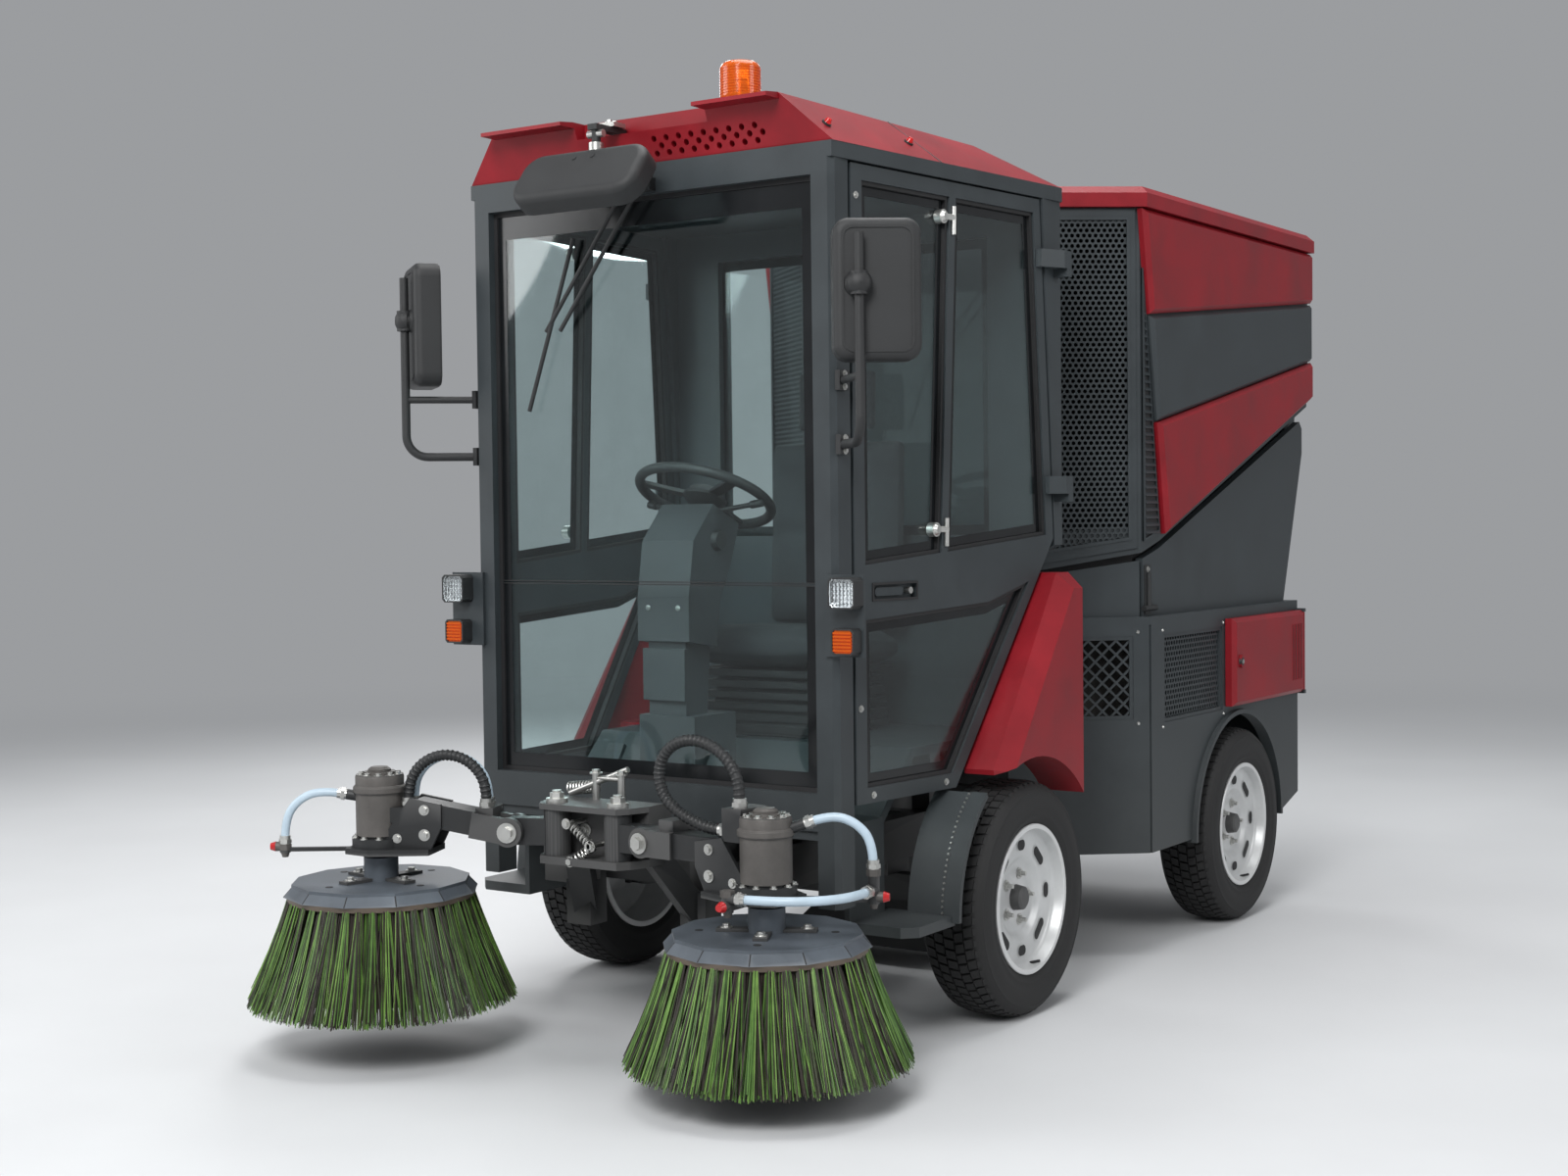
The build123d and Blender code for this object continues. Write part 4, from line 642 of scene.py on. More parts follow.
# Rods, springs and links on the brush carrier
def put_spring(bm, start, end, radius, wire, coils, mat=0):
    start, end = Vector(start), Vector(end)
    frame_at = aim(start, end - start)
    length = (end - start).length
    steps = coils * 10
    rings = []
    for step in range(steps + 1):
        turn = 2 * math.pi * step / 10
        centre = Vector((radius * math.cos(turn), radius * math.sin(turn), length * step / steps))
        outward = spoke(turn)
        ring = []
        for a in turns(6):
            offset = outward * wire * math.cos(a) + Vector((0, 0, wire * math.sin(a)))
            ring.append(bm.verts.new(frame_at @ (centre + offset)))
        rings.append(ring)
    put_skin(bm, rings, mat)


bm = bmesh.new()
for x in (-0.042, 0.042):
    put_rod(bm, (x, -1.340, 0.655), (x, -1.340, 0.728), 0.010, sides=20)
    put_bolt(bm, (x, -1.340, 0.728), (0, 0, 1), 0.011)
    put_bolt(bm, (x, -1.386, 0.585), (0, -1, 0), 0.012)
    put_bolt(bm, (x * 3.2, -1.386, 0.600), (0, -1, 0), 0.009)
    put_bolt(bm, (x * 3.2, -1.386, 0.560), (0, -1, 0), 0.009)
put_rod(bm, (-0.120, -1.352, 0.672), (0.055, -1.328, 0.742), 0.008, sides=20)
put_rod(bm, (-0.042, -1.340, 0.716), (0.042, -1.340, 0.716), 0.007, sides=20)
put_spring(bm, (-0.150, -1.318, 0.680), (-0.060, -1.318, 0.690), 0.016, 0.0028, 9)
for start_x, start_z, end_x, end_z in ((-0.040, 0.612, 0.034, 0.560), (0.040, 0.560, -0.030, 0.515)):
    put_spring(bm, (start_x, -1.452, start_z), (end_x, -1.458, end_z), 0.011, 0.0030, 7)
    for x, z in ((start_x, start_z), (end_x, end_z)):
        put_rod(bm, (x, -1.384, z), (x, -1.466, z), 0.006, sides=16)
        put_bolt(bm, (x, -1.466, z), (0, -1, 0), 0.009)
finish_piece("carrier_links", bm, "chassis", [ZINC])

# Wheels
TYRE_PROFILE = [
    (-0.075, 0.2000), (-0.084, 0.212), (-0.0925, 0.228), (-0.0935, 0.231), (-0.0925, 0.234), (-0.0965, 0.250),
    (-0.0970, 0.262), (-0.0950, 0.282), (-0.0925, 0.292), (-0.0935, 0.296), (-0.0895, 0.301), (-0.084, 0.310),
    (-0.074, 0.3165), (-0.040, 0.3188),
]
TYRE_PROFILE = TYRE_PROFILE + [(-x, r) for x, r in reversed(TYRE_PROFILE)]


def put_block(bm, at, x0, x1, top0, top1, floor0, floor1, start, width, skew):
    corners = []
    for floor_level in (True, False):
        for x, top, low, lean in ((x0, top0, floor0, 0.0), (x1, top1, floor1, skew)):
            for turn in (start + lean, start + lean + width):
                shrink = 0.0 if floor_level else width * 0.05
                middle = start + lean + width / 2
                turn = middle + (turn - middle) * (1 - shrink / width)
                corners.append(bm.verts.new(around(at, x, low if floor_level else top, turn)))
    a, b, c, d, e, f, g, h = corners
    for quad in ((e, f, h, g), (a, b, f, e), (c, g, h, d), (a, e, g, c), (b, d, h, f)):
        bm.faces.new(quad)


RIM_PROFILE = [
    (-0.088, RIM_EDGE), (-0.082, RIM_EDGE), (-0.082, 0.1997), (0.082, 0.1997), (0.082, RIM_EDGE),
    (0.086, RIM_EDGE), (0.088, RIM_EDGE - 0.002), (0.088, 0.1945), (0.085, 0.1925), (0.062, 0.1895),
    (0.055, 0.185), (0.0515, 0.179), (0.0515, 0.122), (0.0485, 0.114), (0.039, 0.105), (0.035, 0.098),
    (0.034, 0.090), (0.034, 0.034), (0.022, 0.034), (0.022, 0.100), (0.038, 0.120), (0.040, 0.168),
    (0.034, 0.188), (-0.088, 0.192),
]
TREAD_BLOCKS = 64
TREAD_PITCH = 2 * math.pi / TREAD_BLOCKS
TREAD_FLOOR = 0.314
TREAD_SKEW = (0.018, 0.018, 0.012, -0.018, -0.018)
NUT_R = 0.068
SLOT_R = 0.147
SLOT_X = 0.0515
# first x, last x, radius at first x, radius at last x
RIBS = [(-0.070, -0.047, 0.321, 0.3262), (-0.043, -0.018, 0.3263, 0.327), (-0.014, 0.014, 0.327, 0.327),
        (0.018, 0.043, 0.327, 0.3263), (0.047, 0.070, 0.3262, 0.321)]
for key, (x, y) in AXLES.items():
    turned = Matrix.Rotation(0 if x > 0 else math.pi, 4, "Z")
    at = Matrix.Translation((x, y, TYRE_R)) @ turned
    bm = bmesh.new()
    put_lathe(bm, TYRE_PROFILE, at, 96)
    for rib, (x0, x1, top0, top1) in enumerate(RIBS):
        for start in turns(TREAD_BLOCKS, 0.5 * (rib % 2)):
            put_block(bm, at, x0, x1, top0, top1, TREAD_FLOOR, TREAD_FLOOR, start, TREAD_PITCH * 0.80,
                      TREAD_SKEW[rib])
    for start in turns(TREAD_BLOCKS):
        for sign in (-1, 1):
            put_block(bm, at, sign * 0.0885, sign * 0.072, 0.3035, 0.3205, 0.298, 0.312, start,
                      TREAD_PITCH * 0.62, 0.0)
    tyre = finish_piece(f"treaded_tyre_{key}", bm, f"wheel_{key}", [RUBBER], sharp=38)
    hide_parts(f"tyre_{key}")

    bm = bmesh.new()
    put_lathe(bm, RIM_PROFILE, at, 72)
    disc = finish_piece(f"slotted_rim_{key}", bm, f"wheel_{key}", [SILVER], sharp=40)
    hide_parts(f"rim_{key}")

    bm = bmesh.new()
    for turn in turns(5):
        seat = around(IDENTITY, 0.034, NUT_R, turn)
        put_bolt(bm, seat, (1, 0, 0), 0.0105, at=at)
        put_rod(bm, seat, around(IDENTITY, 0.056, NUT_R, turn), 0.006, sides=16, at=at)
    put_lathe(bm, [(0.034, 0.0), (0.064, 0.0), (0.064, 0.024), (0.059, 0.032), (0.034, 0.036)], at, 40, mat=1)
    # Slot openings are flat patches: the dark seal rubber patch is painted shade standing in for the open
    # slot, laid on a slightly larger silver lip.
    for step, turn in enumerate(turns(8)):
        reach, half = ((0.020, 0.0140) if step % 2 else (0.007, 0.0145))
        for mat, grow, lift in ((3, 0.004, 0.0012), (2, 0.0, 0.0020)):
            outline = []
            for a in turns(24, 0.5):
                along = (half + grow) * math.cos(a) + math.copysign(reach, math.cos(a))
                radius = SLOT_R + (half + grow) * math.sin(a)
                outline.append(bm.verts.new(around(at, SLOT_X + lift, radius, turn + along / SLOT_R)))
            bm.faces.new(outline).material_index = mat
    put_rod(bm, around(IDENTITY, 0.060, 0.190, 4.9), around(IDENTITY, 0.090, 0.181, 4.9), 0.004, sides=12,
            at=at, mat=2)
    finish_piece(f"wheel_nuts_and_slot_shade_{key}", bm, f"wheel_{key}", [ZINC, DARK, SEAL_AND_SHADE, SILVER])


# Perforated and louvred hopper corners
HOPPER_SIDE_X = 0.690
HOPPER_CORNER = ((0.370, 0.205, 0), (0.320, 0.255, 0), (0.255, -0.320, 0))


def put_honeycomb(bm, to_world, inside, low, high, pitch, hole, back, front, mat=0, sides=6):
    (u0, v0), (u1, v1) = low, high
    cell_r = pitch / math.sqrt(3) if sides == 6 else pitch / 2
    rise = pitch * math.sqrt(3) / 2 if sides == 6 else pitch / 2
    rows = int((v1 - v0) / rise) + 1
    for row in range(rows):
        v = v0 + row * rise
        columns = int((u1 - u0) / pitch) + 1
        for column in range(columns):
            u = u0 + (column + 0.5 * (row % 2)) * pitch
            if not inside(u, v):
                continue
            loops = []
            for radius, depth in ((cell_r, front), (hole, front), (hole, back)):
                corners = [(u + radius * math.sin(t), v + radius * math.cos(t)) for t in turns(sides)]
                loops.append([bm.verts.new(to_world(*corner, depth)) for corner in corners])
            put_skin(bm, loops, mat)


bm = bmesh.new()
for side in SIDES.values():
    corner = on_plane(*HOPPER_CORNER, side)
    outline = [(0.006, 1.222), (0.395, 1.280), (0.395, 2.329), (0.006, 2.329)]
    opening = [(0.030, 1.262), (0.371, 1.310), (0.371, 2.300), (0.030, 2.300)]
    put_ring(bm, outline, opening, corner, 0.0, 0.008)
    put_ring(bm, inset(opening, -0.006), inset(opening, 0.004), corner, 0.006, 0.012)
    put_honeycomb(
        bm, corner, lambda u, v: 0.026 < u < 0.375 and 1.262 + (u - 0.03) * 0.141 < v < 2.303,
        (0.030, 1.255), (0.372, 2.31), 0.0185, 0.0068, 0.001, 0.006)
    strip = side_plane(HOPPER_SIDE_X, side)
    edge = [(0.472, 1.300), (0.590, 1.330), (0.472, 2.150)]
    put_plate(bm, edge, strip, 0.0, 0.003, mat=1)
    put_ring(bm, edge, inset(edge, 0.007), strip, 0.0, 0.008)
    for step in range(34):
        z = 1.330 + 0.0235 * step
        wide = 0.590 - (z - 1.330) * 0.1439 - 0.482
        if wide > 0.008:
            slat = side @ placed((0.6955, 0.480, z), -38, "Y")
            put_box(bm, (-0.0012, 0, -0.0075), (0.0012, wide, 0.0075), at=slat)
grilles = finish_piece("hopper_screens", bm, "hopper", [GREY, SEAL_AND_SHADE], sharp=25)
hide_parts("hopper_grilles")

bm = bmesh.new()
for side in SIDES.values():
    band = side_plane(HOPPER_SIDE_X, side)
    low = [(0.501, 2.0025), (1.938, 2.1450), (1.938, 1.9405), (0.553, 1.6790)]
    high = inset(low, 0.011)
    put_plate(bm, low, band, 0.0, 0.0150)
    base = [bm.verts.new(band(u, v, 0.0150)) for u, v in low]
    top = [bm.verts.new(band(u, v, 0.0265)) for u, v in high]
    put_skin(bm, [base, top])
    bm.faces.new(top)
    # Dark seal rubber strips along the slope and under the hopper corner: painted shade standing in for the
    # shaded gap between the cladding and the support.
    painted_shade_strip = [(0.474, 1.267), (0.600, 1.299), (1.775, 1.714), (1.775, 1.634), (0.600, 1.219), (0.474, 1.187)]
    put_plate(bm, painted_shade_strip, side_plane(0.640, side), 0.0, 0.008, mat=1)
    corner = on_plane(*HOPPER_CORNER, side)
    put_plate(bm, [(0.0, 1.198), (0.390, 1.265), (0.390, 1.205), (0.0, 1.150)], corner, -0.044, -0.036, mat=1)
finish_piece("hopper_band_and_shade_strips", bm, "hopper", [GREY, SEAL_AND_SHADE], bevel=0.0012)

# Body grilles
BODY_CORNER = (0.360, 0.178, 0)
CORNER_ALONG = Vector((0.360, 0.282, 0))
CORNER_OUT = Vector((0.282, -0.360, 0))
CORNER_WIDE = math.hypot(0.360, 0.282)
PANE_FIRST = CORNER_WIDE - 0.335
PANE_LAST = CORNER_WIDE - 0.055
bm = bmesh.new()
for side in SIDES.values():
    mesh_plane = side_plane(0.704, side)
    frame_out = rect(0.565, 0.725, 1.045, 1.005)
    put_ring(bm, frame_out, inset(frame_out, 0.012), mesh_plane, 0.0, 0.012)
    put_honeycomb(
        bm, mesh_plane, lambda u, v: 0.572 < u < 1.038 and 0.732 < v < 0.998,
        (0.570, 0.730), (1.042, 1.002), 0.0200, 0.0078, 0.001, 0.005)
    plane = on_plane(BODY_CORNER, CORNER_ALONG, CORNER_OUT, side)
    pane = rect(PANE_FIRST, 0.745, PANE_LAST, 1.005)
    put_ring(bm, pane, inset(pane, 0.012), plane, -0.012, -0.002)
    put_honeycomb(
        bm, plane, lambda u, v: PANE_FIRST + 0.001 < u < PANE_LAST - 0.001 and 0.746 < v < 1.004,
        (PANE_FIRST + 0.007, 0.750), (PANE_LAST - 0.005, 1.004), 0.0440, 0.0170, -0.011, -0.005, sides=4)
vents = finish_piece("body_vents", bm, "chassis", [GREY, PLASTIC], sharp=25)
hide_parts("body_grilles")

# Lamps
LAMP_X = 0.645
LAMP_Y = -1.180


def square(half, z):
    short = half - half * 0.22
    return [(-half, z - short), (-short, z - half), (short, z - half), (half, z - short),
            (half, z + short), (short, z + half), (-short, z + half), (-half, z + short)]


bm = bmesh.new()
for side in SIDES.values():
    front = on_plane((LAMP_X, LAMP_Y, 0), (1, 0, 0), (0, -1, 0), side)
    for z, half, deep, lens_mat in ((1.200, 0.039, 0.044, 1), (1.080, 0.033, 0.040, 2)):
        put_ring(bm, square(half, z), square(half - 0.004, z), front, 0.0, deep)
        put_plate(bm, square(half - 0.004, z), front, 0.004, deep - 0.016, mat=3)
        put_plate(bm, square(half - 0.0042, z), front, deep - 0.010, deep - 0.003, mat=lens_mat)
        ribs = 6
        step = 2 * (half - 0.007) / ribs
        for i in range(ribs):
            for j in range(ribs if lens_mat == 1 else 1):
                u = -half + 0.007 + step * (i + 0.5)
                if lens_mat == 1:
                    v = z - half + 0.007 + step * (j + 0.5)
                    foot, tip = front(u, v, deep - 0.004), front(u, v, deep + 0.002)
                    put_rod(bm, foot, tip, step * 0.62, step * 0.30, sides=4, mat=1)
                else:
                    low = (LAMP_X - half + 0.006, LAMP_Y - deep - 0.001, z + u - 0.0022)
                    high = (LAMP_X + half - 0.006, LAMP_Y - deep + 0.004, z + u + 0.0022)
                    put_box(bm, low, high, at=side, mat=2)
    rear = on_plane((0, 1.755, 0), (1, 0, 0), (0, 1, 0), side)
    put_ring(bm, rect(0.560, 0.560, 0.660, 0.800), rect(0.566, 0.566, 0.654, 0.794), rear, 0.0, 0.022)
    for z0, z1, mat in ((0.566, 0.640, 1), (0.643, 0.716, 2), (0.719, 0.794, 4)):
        put_plate(bm, rect(0.566, z0, 0.654, z1), rear, 0.002, 0.020, mat=mat)
        for i in range(5):
            z = z0 + (z1 - z0) * (i + 0.5) / 5
            put_box(bm, (0.570, 1.774, z - 0.003), (0.650, 1.7775, z + 0.003), at=side, mat=mat)
lamps = finish_piece("lamp_sets", bm, "chassis", [PLASTIC, LENS, AMBER, REFLECTOR, RED_LENS], sharp=25)
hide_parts("lamps")

# Beacon
bm = bmesh.new()
upright = placed((0.270, -1.090, 2.450), -90, "Y")
foot = [(0.0, 0.0), (0.0, 0.060), (0.010, 0.060), (0.016, 0.056), (0.024, 0.050), (0.024, 0.0)]
put_lathe(bm, foot, upright, 48)
lens = [(0.024, 0.0510), (0.028, 0.0530)]
for rib in range(11):
    z = 0.030 + 0.0070 * rib
    lens += [(z, 0.0535), (z + 0.0042, 0.0535), (z + 0.0050, 0.0519), (z + 0.0064, 0.0519)]
lens += [(0.108, 0.0510), (0.115, 0.0470), (0.120, 0.0380), (0.122, 0.0200), (0.122, 0.0)]
put_lathe(bm, lens, upright, 64, mat=1, wrap=False)
put_rod(bm, (0.270, -1.090, 2.474), (0.270, -1.090, 2.525), 0.016, 0.012, sides=16, mat=2)
lamp = finish_piece("beacon_lamp", bm, "chassis", [PLASTIC, AMBER, ZINC], sharp=50)
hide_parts("beacon")

# Window borders and seals
bm = bmesh.new()
screen = on_plane((0, -1.140, 0), (1, 0, 0), (0, -1, 0))
# outer edge, clear opening
SCREENS = [
    (rect(-0.535, 0.690, 0.535, 1.216), rect(-0.497, 0.740, 0.490, 1.213)),
    (rect(-0.535, 1.220, 0.535, 2.245), rect(-0.497, 1.223, 0.490, 2.170)),
]
for pane, sight in SCREENS:
    put_ring(bm, pane, sight, screen, 0.0002, 0.0010)
    put_ring(bm, pane, inset(pane, 0.003), screen, 0.0010, 0.0040, mat=1)
frame_line = rect(-0.535, 0.690, 0.535, 2.245)
put_ring(bm, frame_line, inset(frame_line, 0.012), screen, 0.0010, 0.0070, mat=1)
back = on_plane((0, -0.124, 0), (1, 0, 0), (0, 1, 0))
pane = rect(-0.480, 1.330, 0.480, 2.200)
put_ring(bm, pane, inset(pane, 0.030), back, 0.0002, 0.0010)
put_ring(bm, pane, inset(pane, 0.012), back, 0.0010, 0.0080, mat=1)
finish_piece("screen_borders", bm, "chassis", [TRIM, SEAL_AND_SHADE])

DOOR_WINDOWS = [
    [(0.045, 1.265), (0.378, 1.290), (0.430, 2.240), (0.045, 2.240)],
    [(0.408, 1.292), (0.893, 1.330), (0.838, 2.240), (0.460, 2.240)],
    [(0.045, 0.695), (0.420, 0.695), (0.800, 1.200), (0.600, 1.150), (0.045, 1.125)],
]
DOOR_ALONG = (math.sin(DOOR_TURN), math.cos(DOOR_TURN), 0)
DOOR_OUT = (math.cos(DOOR_TURN), -math.sin(DOOR_TURN), 0)
for name, side in SIDES.items():
    bm = bmesh.new()
    door = on_plane((0.600, -1.085, 0), DOOR_ALONG, DOOR_OUT, side)
    for window in DOOR_WINDOWS:
        put_ring(bm, window, inset(window, 0.034), door, -0.0178, -0.0170)
        put_ring(bm, window, inset(window, 0.010), door, -0.0170, -0.0060, mat=1)
        put_ring(bm, window, inset(window, 0.010), door, -0.0390, -0.0245, mat=1)
    for u, v in ((0.398, 2.185), (0.352, 1.352)):
        knob = door(u, v, 0.004)
        put_rod(bm, door(u, v, -0.017), knob, 0.019, sides=28, mat=2)
        put_rod(bm, knob, door(u, v, 0.012), 0.015, 0.010, sides=28, mat=2)
        put_rod(bm, door(u, v, -0.002), door(u + 0.048, v, 0.003), 0.009, sides=16, mat=2)
        put_rod(bm, door(u + 0.044, v - 0.045, 0.004), door(u + 0.046, v + 0.030, 0.004), 0.007, sides=16,
                mat=2)
    for u, v in ((0.070, 0.675), (0.390, 0.675), (0.020, 0.90), (0.020, 1.60), (0.020, 2.20)):
        put_bolt(bm, door(u, v, 0.0), side.to_3x3() @ Vector(DOOR_OUT), 0.006, mat=2)
    pocket = rect(0.072, 1.171, 0.268, 1.219)
    put_ring(bm, pocket, inset(pocket, 0.006), door, 0.0, 0.003, mat=1)
    put_rod(bm, door(0.235, 1.195, -0.014), door(0.235, 1.195, 0.003), 0.009, sides=24, mat=2)
    finish_piece(f"door_trim_{name}", bm, f"door_{name[0]}", [TRIM, SEAL_AND_SHADE, ZINC])

# Mirrors
def rounded(half_u, half_v, radius, steps=6):
    points = []
    for corner, (su, sv) in enumerate(((1, -1), (1, 1), (-1, 1), (-1, -1))):
        for step in range(steps + 1):
            turn = math.radians(-90 + 90 * corner + 90 * step / steps)
            u = su * (half_u - radius) + radius * math.cos(turn)
            v = sv * (half_v - radius) + radius * math.sin(turn)
            points.append((u, v))
    return points


def facing(matrix, y, out):
    def to_world(u, v, d):
        return matrix @ Vector((u, y + out * d, v))
    return to_world


MIRROR_PLACE = placed((0.752, -1.215, 1.938), 38, "Z")
FRONT_MIRROR_PLACE = placed((-0.070, -1.325, 2.275), -38, "X")
bm = bmesh.new()
for side in SIDES.values():
    at = side @ MIRROR_PLACE
    glass = rounded(0.097, 0.161, 0.030)
    put_plate(bm, glass, facing(at, 0.035, 1), 0.0, 0.002, mat=1)
    put_ring(bm, rounded(0.104, 0.168, 0.036), glass, facing(at, 0.035, 1), -0.002, 0.005)
    rib_out, rib_in = rounded(0.088, 0.152, 0.028), rounded(0.083, 0.147, 0.024)
    put_ring(bm, rib_out, rib_in, facing(at, -0.034, -1), 0.0, 0.0035)
    put_rod(bm, (-0.048, -0.034, 0.012), (-0.048, -0.044, 0.012), 0.036, 0.030, sides=32, at=at)
    put_rod(bm, (-0.048, -0.055, -0.016), (-0.048, -0.055, 0.040), 0.021, sides=28, at=at)
    ball = [(0.0, 0.030), (0.012, 0.030), (0.022, 0.024), (0.028, 0.013), (0.029, 0.001)]
    put_lathe(bm, ball, at @ placed((-0.048, -0.052, 0.012), -90, "Z"), 32, wrap=False)
    for z in (1.586, 1.554, 1.746, 1.714):
        put_bolt(bm, (0.612, -1.142, z), (1, 0, 0), 0.006, at=side, mat=2)
front_glass = rounded(0.192, 0.072, 0.048)
front_face = facing(FRONT_MIRROR_PLACE, 0.031, 1)
put_plate(bm, front_glass, front_face, 0.0, 0.002, mat=1)
put_ring(bm, rounded(0.200, 0.080, 0.055), front_glass, front_face, -0.002, 0.005)
for u in (-0.030, 0.030):
    put_rod(bm, (u, -0.030, 0.048), (u, -0.0325, 0.048), 0.007, sides=20, at=FRONT_MIRROR_PLACE)
put_box(bm, (-0.085, -1.235, 2.420), (-0.035, -1.185, 2.432), mat=2)
put_bolt(bm, (-0.060, -1.200, 2.432), (0, 0, 1), 0.008, mat=2)
put_bolt(bm, (-0.060, -1.222, 2.432), (0, 0, 1), 0.008, mat=2)
put_rod(bm, (-0.085, -1.278, 2.395), (-0.035, -1.278, 2.395), 0.010, sides=20, mat=2)
put_rod(bm, (-0.060, -1.278, 2.345), (-0.060, -1.278, 2.372), 0.020, sides=28, mat=2)
finish_piece("mirror_fittings", bm, "chassis", [PLASTIC, MIRROR_GLASS, ZINC])

# Small fittings on the body
def put_arc(bm, side, centre, low_r, high_r, first, last, x0, x1, mat=0):
    rows = []
    for step in range(41):
        turn = math.radians(first + (last - first) * step / 40)
        c, s = math.cos(turn), math.sin(turn)
        rows.append([bm.verts.new(side @ Vector((x, centre[0] + r * c, centre[1] + r * s)))
                     for x, r in rect(x0, low_r, x1, high_r)])
    put_skin(bm, rows, mat)
    for row in (rows[0], rows[-1]):
        bm.faces.new(row).material_index = mat


def roof_edge(y):
    low = Vector((0.600 + 0.102 * (y + 1.165) / 1.065, y, 2.325))
    high = Vector((0.470 + 0.020 * (y + 1.215) / 0.975, y, 2.450))
    return low, high


GRILLE_RIVETS = ((0.552, 1.018), (1.052, 1.018), (0.552, 0.712), (1.052, 0.712))
CORNER_RIVETS = ((-0.040, 1.018), (-0.040, 0.732), (-0.350, 1.018), (-0.350, 0.732))
bm = bmesh.new()
for side in SIDES.values():
    put_arc(bm, side, (REAR_AXLE_Y, TYRE_R), 0.375, 0.390, -2, 182, 0.700, 0.736)
    put_arc(bm, side, (FRONT_AXLE_Y, TYRE_R), 0.4085, 0.4115, 128, 180, 0.712, 0.757)
    for step in range(24):
        turn = math.radians(129 + 50 * step / 23)
        out = Vector((0, math.cos(turn), math.sin(turn)))
        spot = Vector((0.704, FRONT_AXLE_Y, TYRE_R)) + out * 0.408
        put_rod(bm, spot, spot + out * 0.004, 0.0042, 0.0026, sides=12, at=side, mat=1)
    corner = on_plane(BODY_CORNER, CORNER_ALONG, CORNER_OUT)
    for u, v in CORNER_RIVETS:
        spot = corner(CORNER_WIDE + u, v, 0.0)
        put_rod(bm, spot, corner(CORNER_WIDE + u, v, 0.004), 0.006, 0.004, sides=18, at=side, mat=1)
    for y, z in GRILLE_RIVETS:
        put_rod(bm, (0.720, y, z), (0.7235, y, z), 0.005, 0.0035, sides=18, at=side, mat=1)
    put_box(bm, (0.686, 0.486, 1.070), (0.691, 0.530, 1.225), at=side, mat=2)
    put_rod(bm, (0.694, 0.508, 1.095), (0.694, 0.508, 1.200), 0.008, sides=20, at=side, mat=2)
    put_rod(bm, (0.694, 0.470, 1.090), (0.694, 0.562, 1.090), 0.009, sides=20, at=side, mat=2)
    put_bolt(bm, (0.690, 0.508, 1.212), (1, 0, 0), 0.006, at=side, mat=1)
    for y in (-1.120, -0.755):
        low, high = roof_edge(y)
        out = (high - low).cross(Vector((0, 1, 0))).normalized()
        out = out if out.x > 0 else -out
        spot = low.lerp(high, 0.40)
        put_rod(bm, spot, spot + out * 0.006, 0.013, sides=24, at=side, mat=2)
        put_rod(bm, spot + out * 0.006, spot + out * 0.018, 0.010, 0.006, sides=24, at=side, mat=3)
    put_rod(bm, *roof_edge(-0.700), 0.0022, sides=8, at=side, mat=2)
finish_piece("body_fittings", bm, "chassis", [GREY, ZINC, PLASTIC, RED_LENS])

for name, side in SIDES.items():
    bm = bmesh.new()
    put_rod(bm, (0.758, 1.110, 0.885), (0.7665, 1.110, 0.885), 0.015, 0.013, sides=28, at=side)
    put_rod(bm, (0.7665, 1.110, 0.885), (0.769, 1.110, 0.885), 0.008, sides=6, at=side, mat=1)
    face = side_plane(0.758, side)
    for i in range(4):
        y = 1.650 + 0.026 * (i - 1.5)
        slot_line = rect(y - 0.0070, 0.785, y + 0.0070, 0.985)
        put_ring(bm, slot_line, inset(slot_line, 0.0022), face, -0.003, 0.0015, mat=2)
        put_plate(bm, inset(slot_line, 0.0022), face, -0.003, 0.0006, mat=3)
    finish_piece(f"hatch_lock_{name}", bm, f"hatch_{name[0]}", [PLASTIC, ZINC, RED, SEAL_AND_SHADE])

# Cab inside
bm = bmesh.new()
put_rod(bm, (0.086, -0.965, 1.330), (0.104, -0.965, 1.330), 0.030, 0.026, sides=32)
for sign, tip in ((1, (0.195, -0.899, 1.430)), (-1, (-0.190, -0.900, 1.429))):
    put_rod(bm, (sign * 0.040, -0.930, 1.405), (sign * 0.165, -0.905, 1.425), 0.007, sides=16)
    put_rod(bm, (sign * 0.160, -0.906, 1.424), tip, 0.011, sides=16)
hub = [(-0.040, 0.030), (-0.012, 0.060), (-0.004, 0.062), (0.0, 0.056), (0.0, 0.030)]
put_lathe(bm, hub, placed((0, -0.895, 1.450), -25, "X") @ UPRIGHT, 40)
put_box(bm, (-0.070, -1.0965, 0.90), (0.070, -1.080, 1.04), mat=1)
for x in (-0.050, 0.050):
    put_bolt(bm, (x, -1.096, 1.150), (0, -1, 0), 0.005, mat=2)
for fold in range(6):
    z = 0.772 + 0.032 * fold
    grow = 0.206 - 0.004 * fold
    put_box(bm, (-grow, -0.645, z), (grow, -0.275, z + 0.020), mat=3)
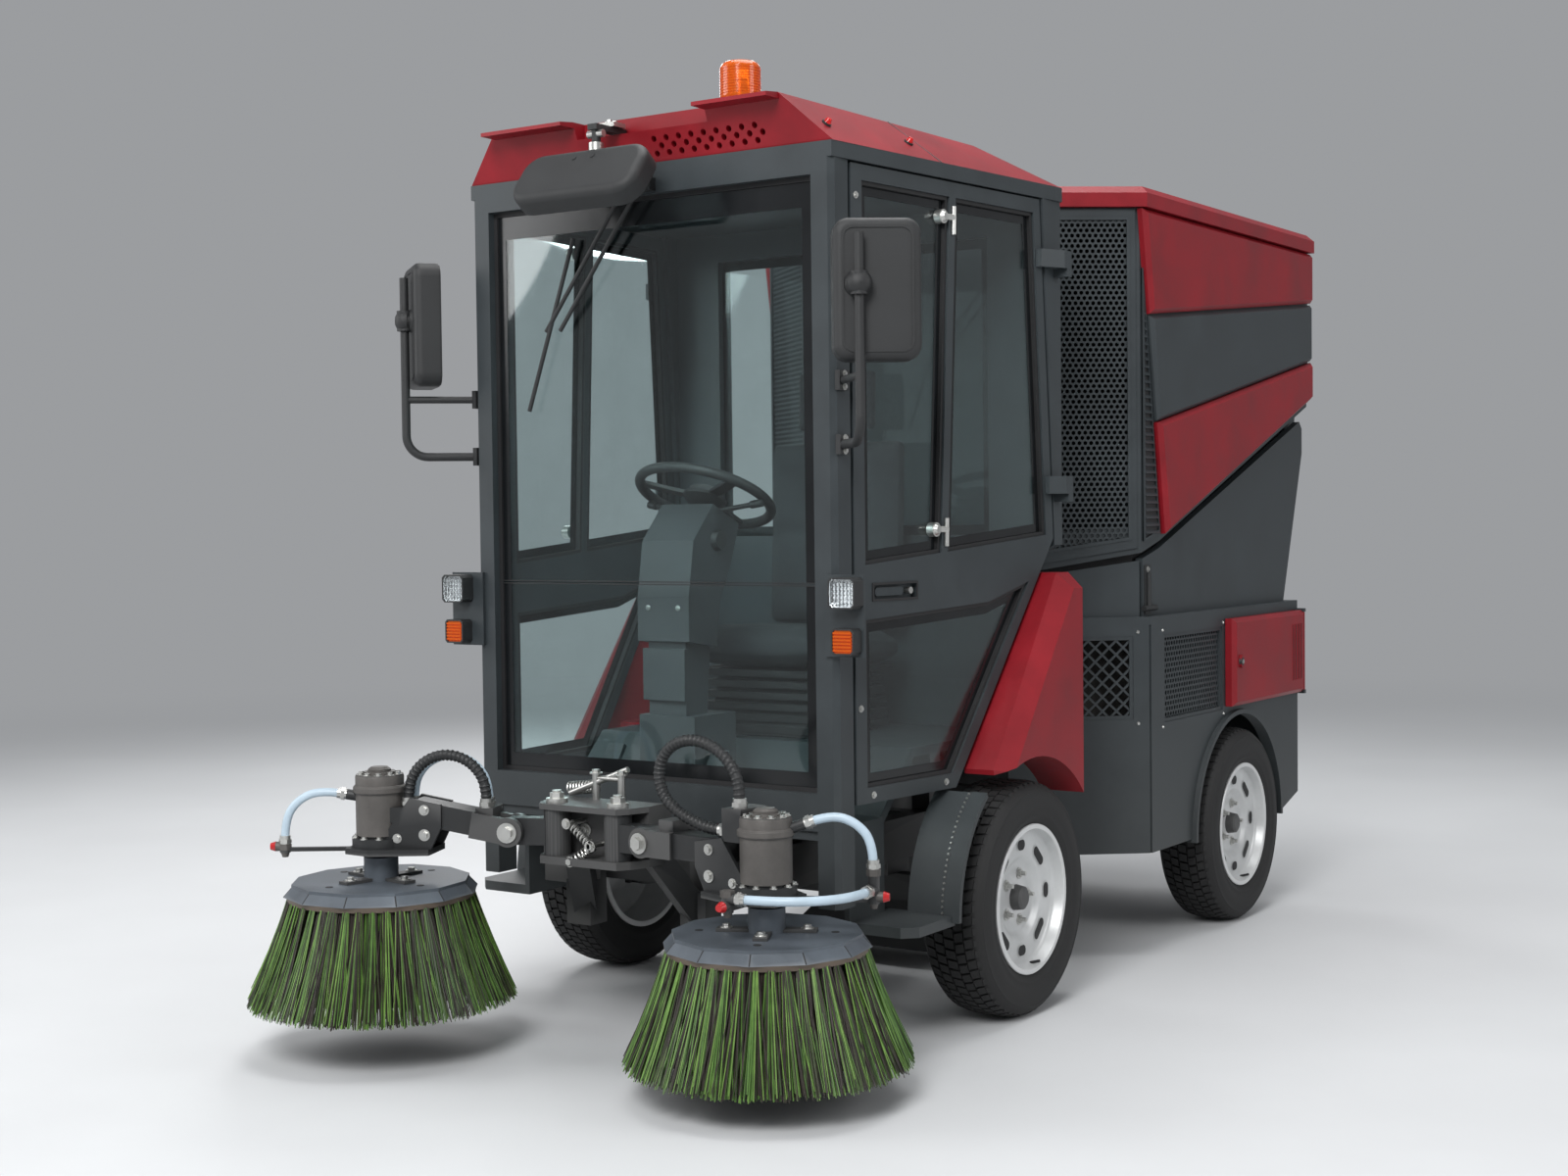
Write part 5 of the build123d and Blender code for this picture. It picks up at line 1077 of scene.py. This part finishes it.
finish_piece("column_controls", bm, "chassis", [PLASTIC, COLUMN, ZINC, SEAL_AND_SHADE], bevel=0.003)

# Seat
bm = bmesh.new()
stand = [(-0.640, 0.760), (-0.290, 0.760), (-0.330, 0.950), (-0.600, 0.950)]
put_plate(bm, stand, side_plane(0), -0.180, 0.180)
for x in (-0.063, 0.063):
    put_rod(bm, (x, -0.212, 1.58), (x, -0.212, 1.68), 0.007, sides=16, mat=1)
for x in (-0.20, 0.20):
    put_box(bm, (x - 0.012, -0.69, 0.938), (x + 0.012, -0.25, 0.955))
base = finish_piece("seat_base", bm, "chassis", [PLASTIC, ZINC], bevel=0.006)
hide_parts("seat")


def put_pad(name, at, half, crown, channels, across):
    bm = bmesh.new()
    bmesh.ops.create_cube(bm, size=2)
    bmesh.ops.subdivide_edges(bm, edges=bm.edges[:], cuts=15, use_grid_fill=True)
    for vert in bm.verts:
        a, b, c = vert.co
        swell = (1 - a ** 4) * (1 - b ** 4)
        pull = 1 - 0.035 * (abs(a) ** 6 + abs(b) ** 6) * abs(c) ** 3
        x, y = a * half[0] * pull, b * half[1] * pull
        corner = max(abs(a), abs(b)) ** 10
        z = c * (half[2] * (1 - 0.42 * corner) + crown * swell)
        if c > 0:
            line = b if across else a
            z -= sum(0.014 * math.exp(-((line - k) / 0.05) ** 2) for k in channels) * (c ** 3)
        vert.co = at @ Vector((x, y, z))
    pad = finish_piece(name, bm, "chassis", [CLOTH], sharp=80)
    smooth = pad.modifiers.new("smooth", "SUBSURF")
    smooth.levels = 1
    smooth.render_levels = 1


# name, place, lean, half size, crown, sewn channels, channels run across
PADS = [
    ("seat_cushion", (0, -0.472, 1.013), -3, (0.232, 0.222, 0.050), 0.014, (-0.55, 0.55), False),
    ("seat_back", (0, -0.224, 1.340), 87, (0.225, 0.272, 0.040), 0.012, (-0.6, -0.3, 0.0, 0.3, 0.6), True),
    ("seat_head", (0, -0.214, 1.738), 88, (0.128, 0.086, 0.028), 0.008, (), True),
]
for name, point, lean, half, crown, channels, across in PADS:
    put_pad(name, placed(point, lean, "X"), half, crown, channels, across)
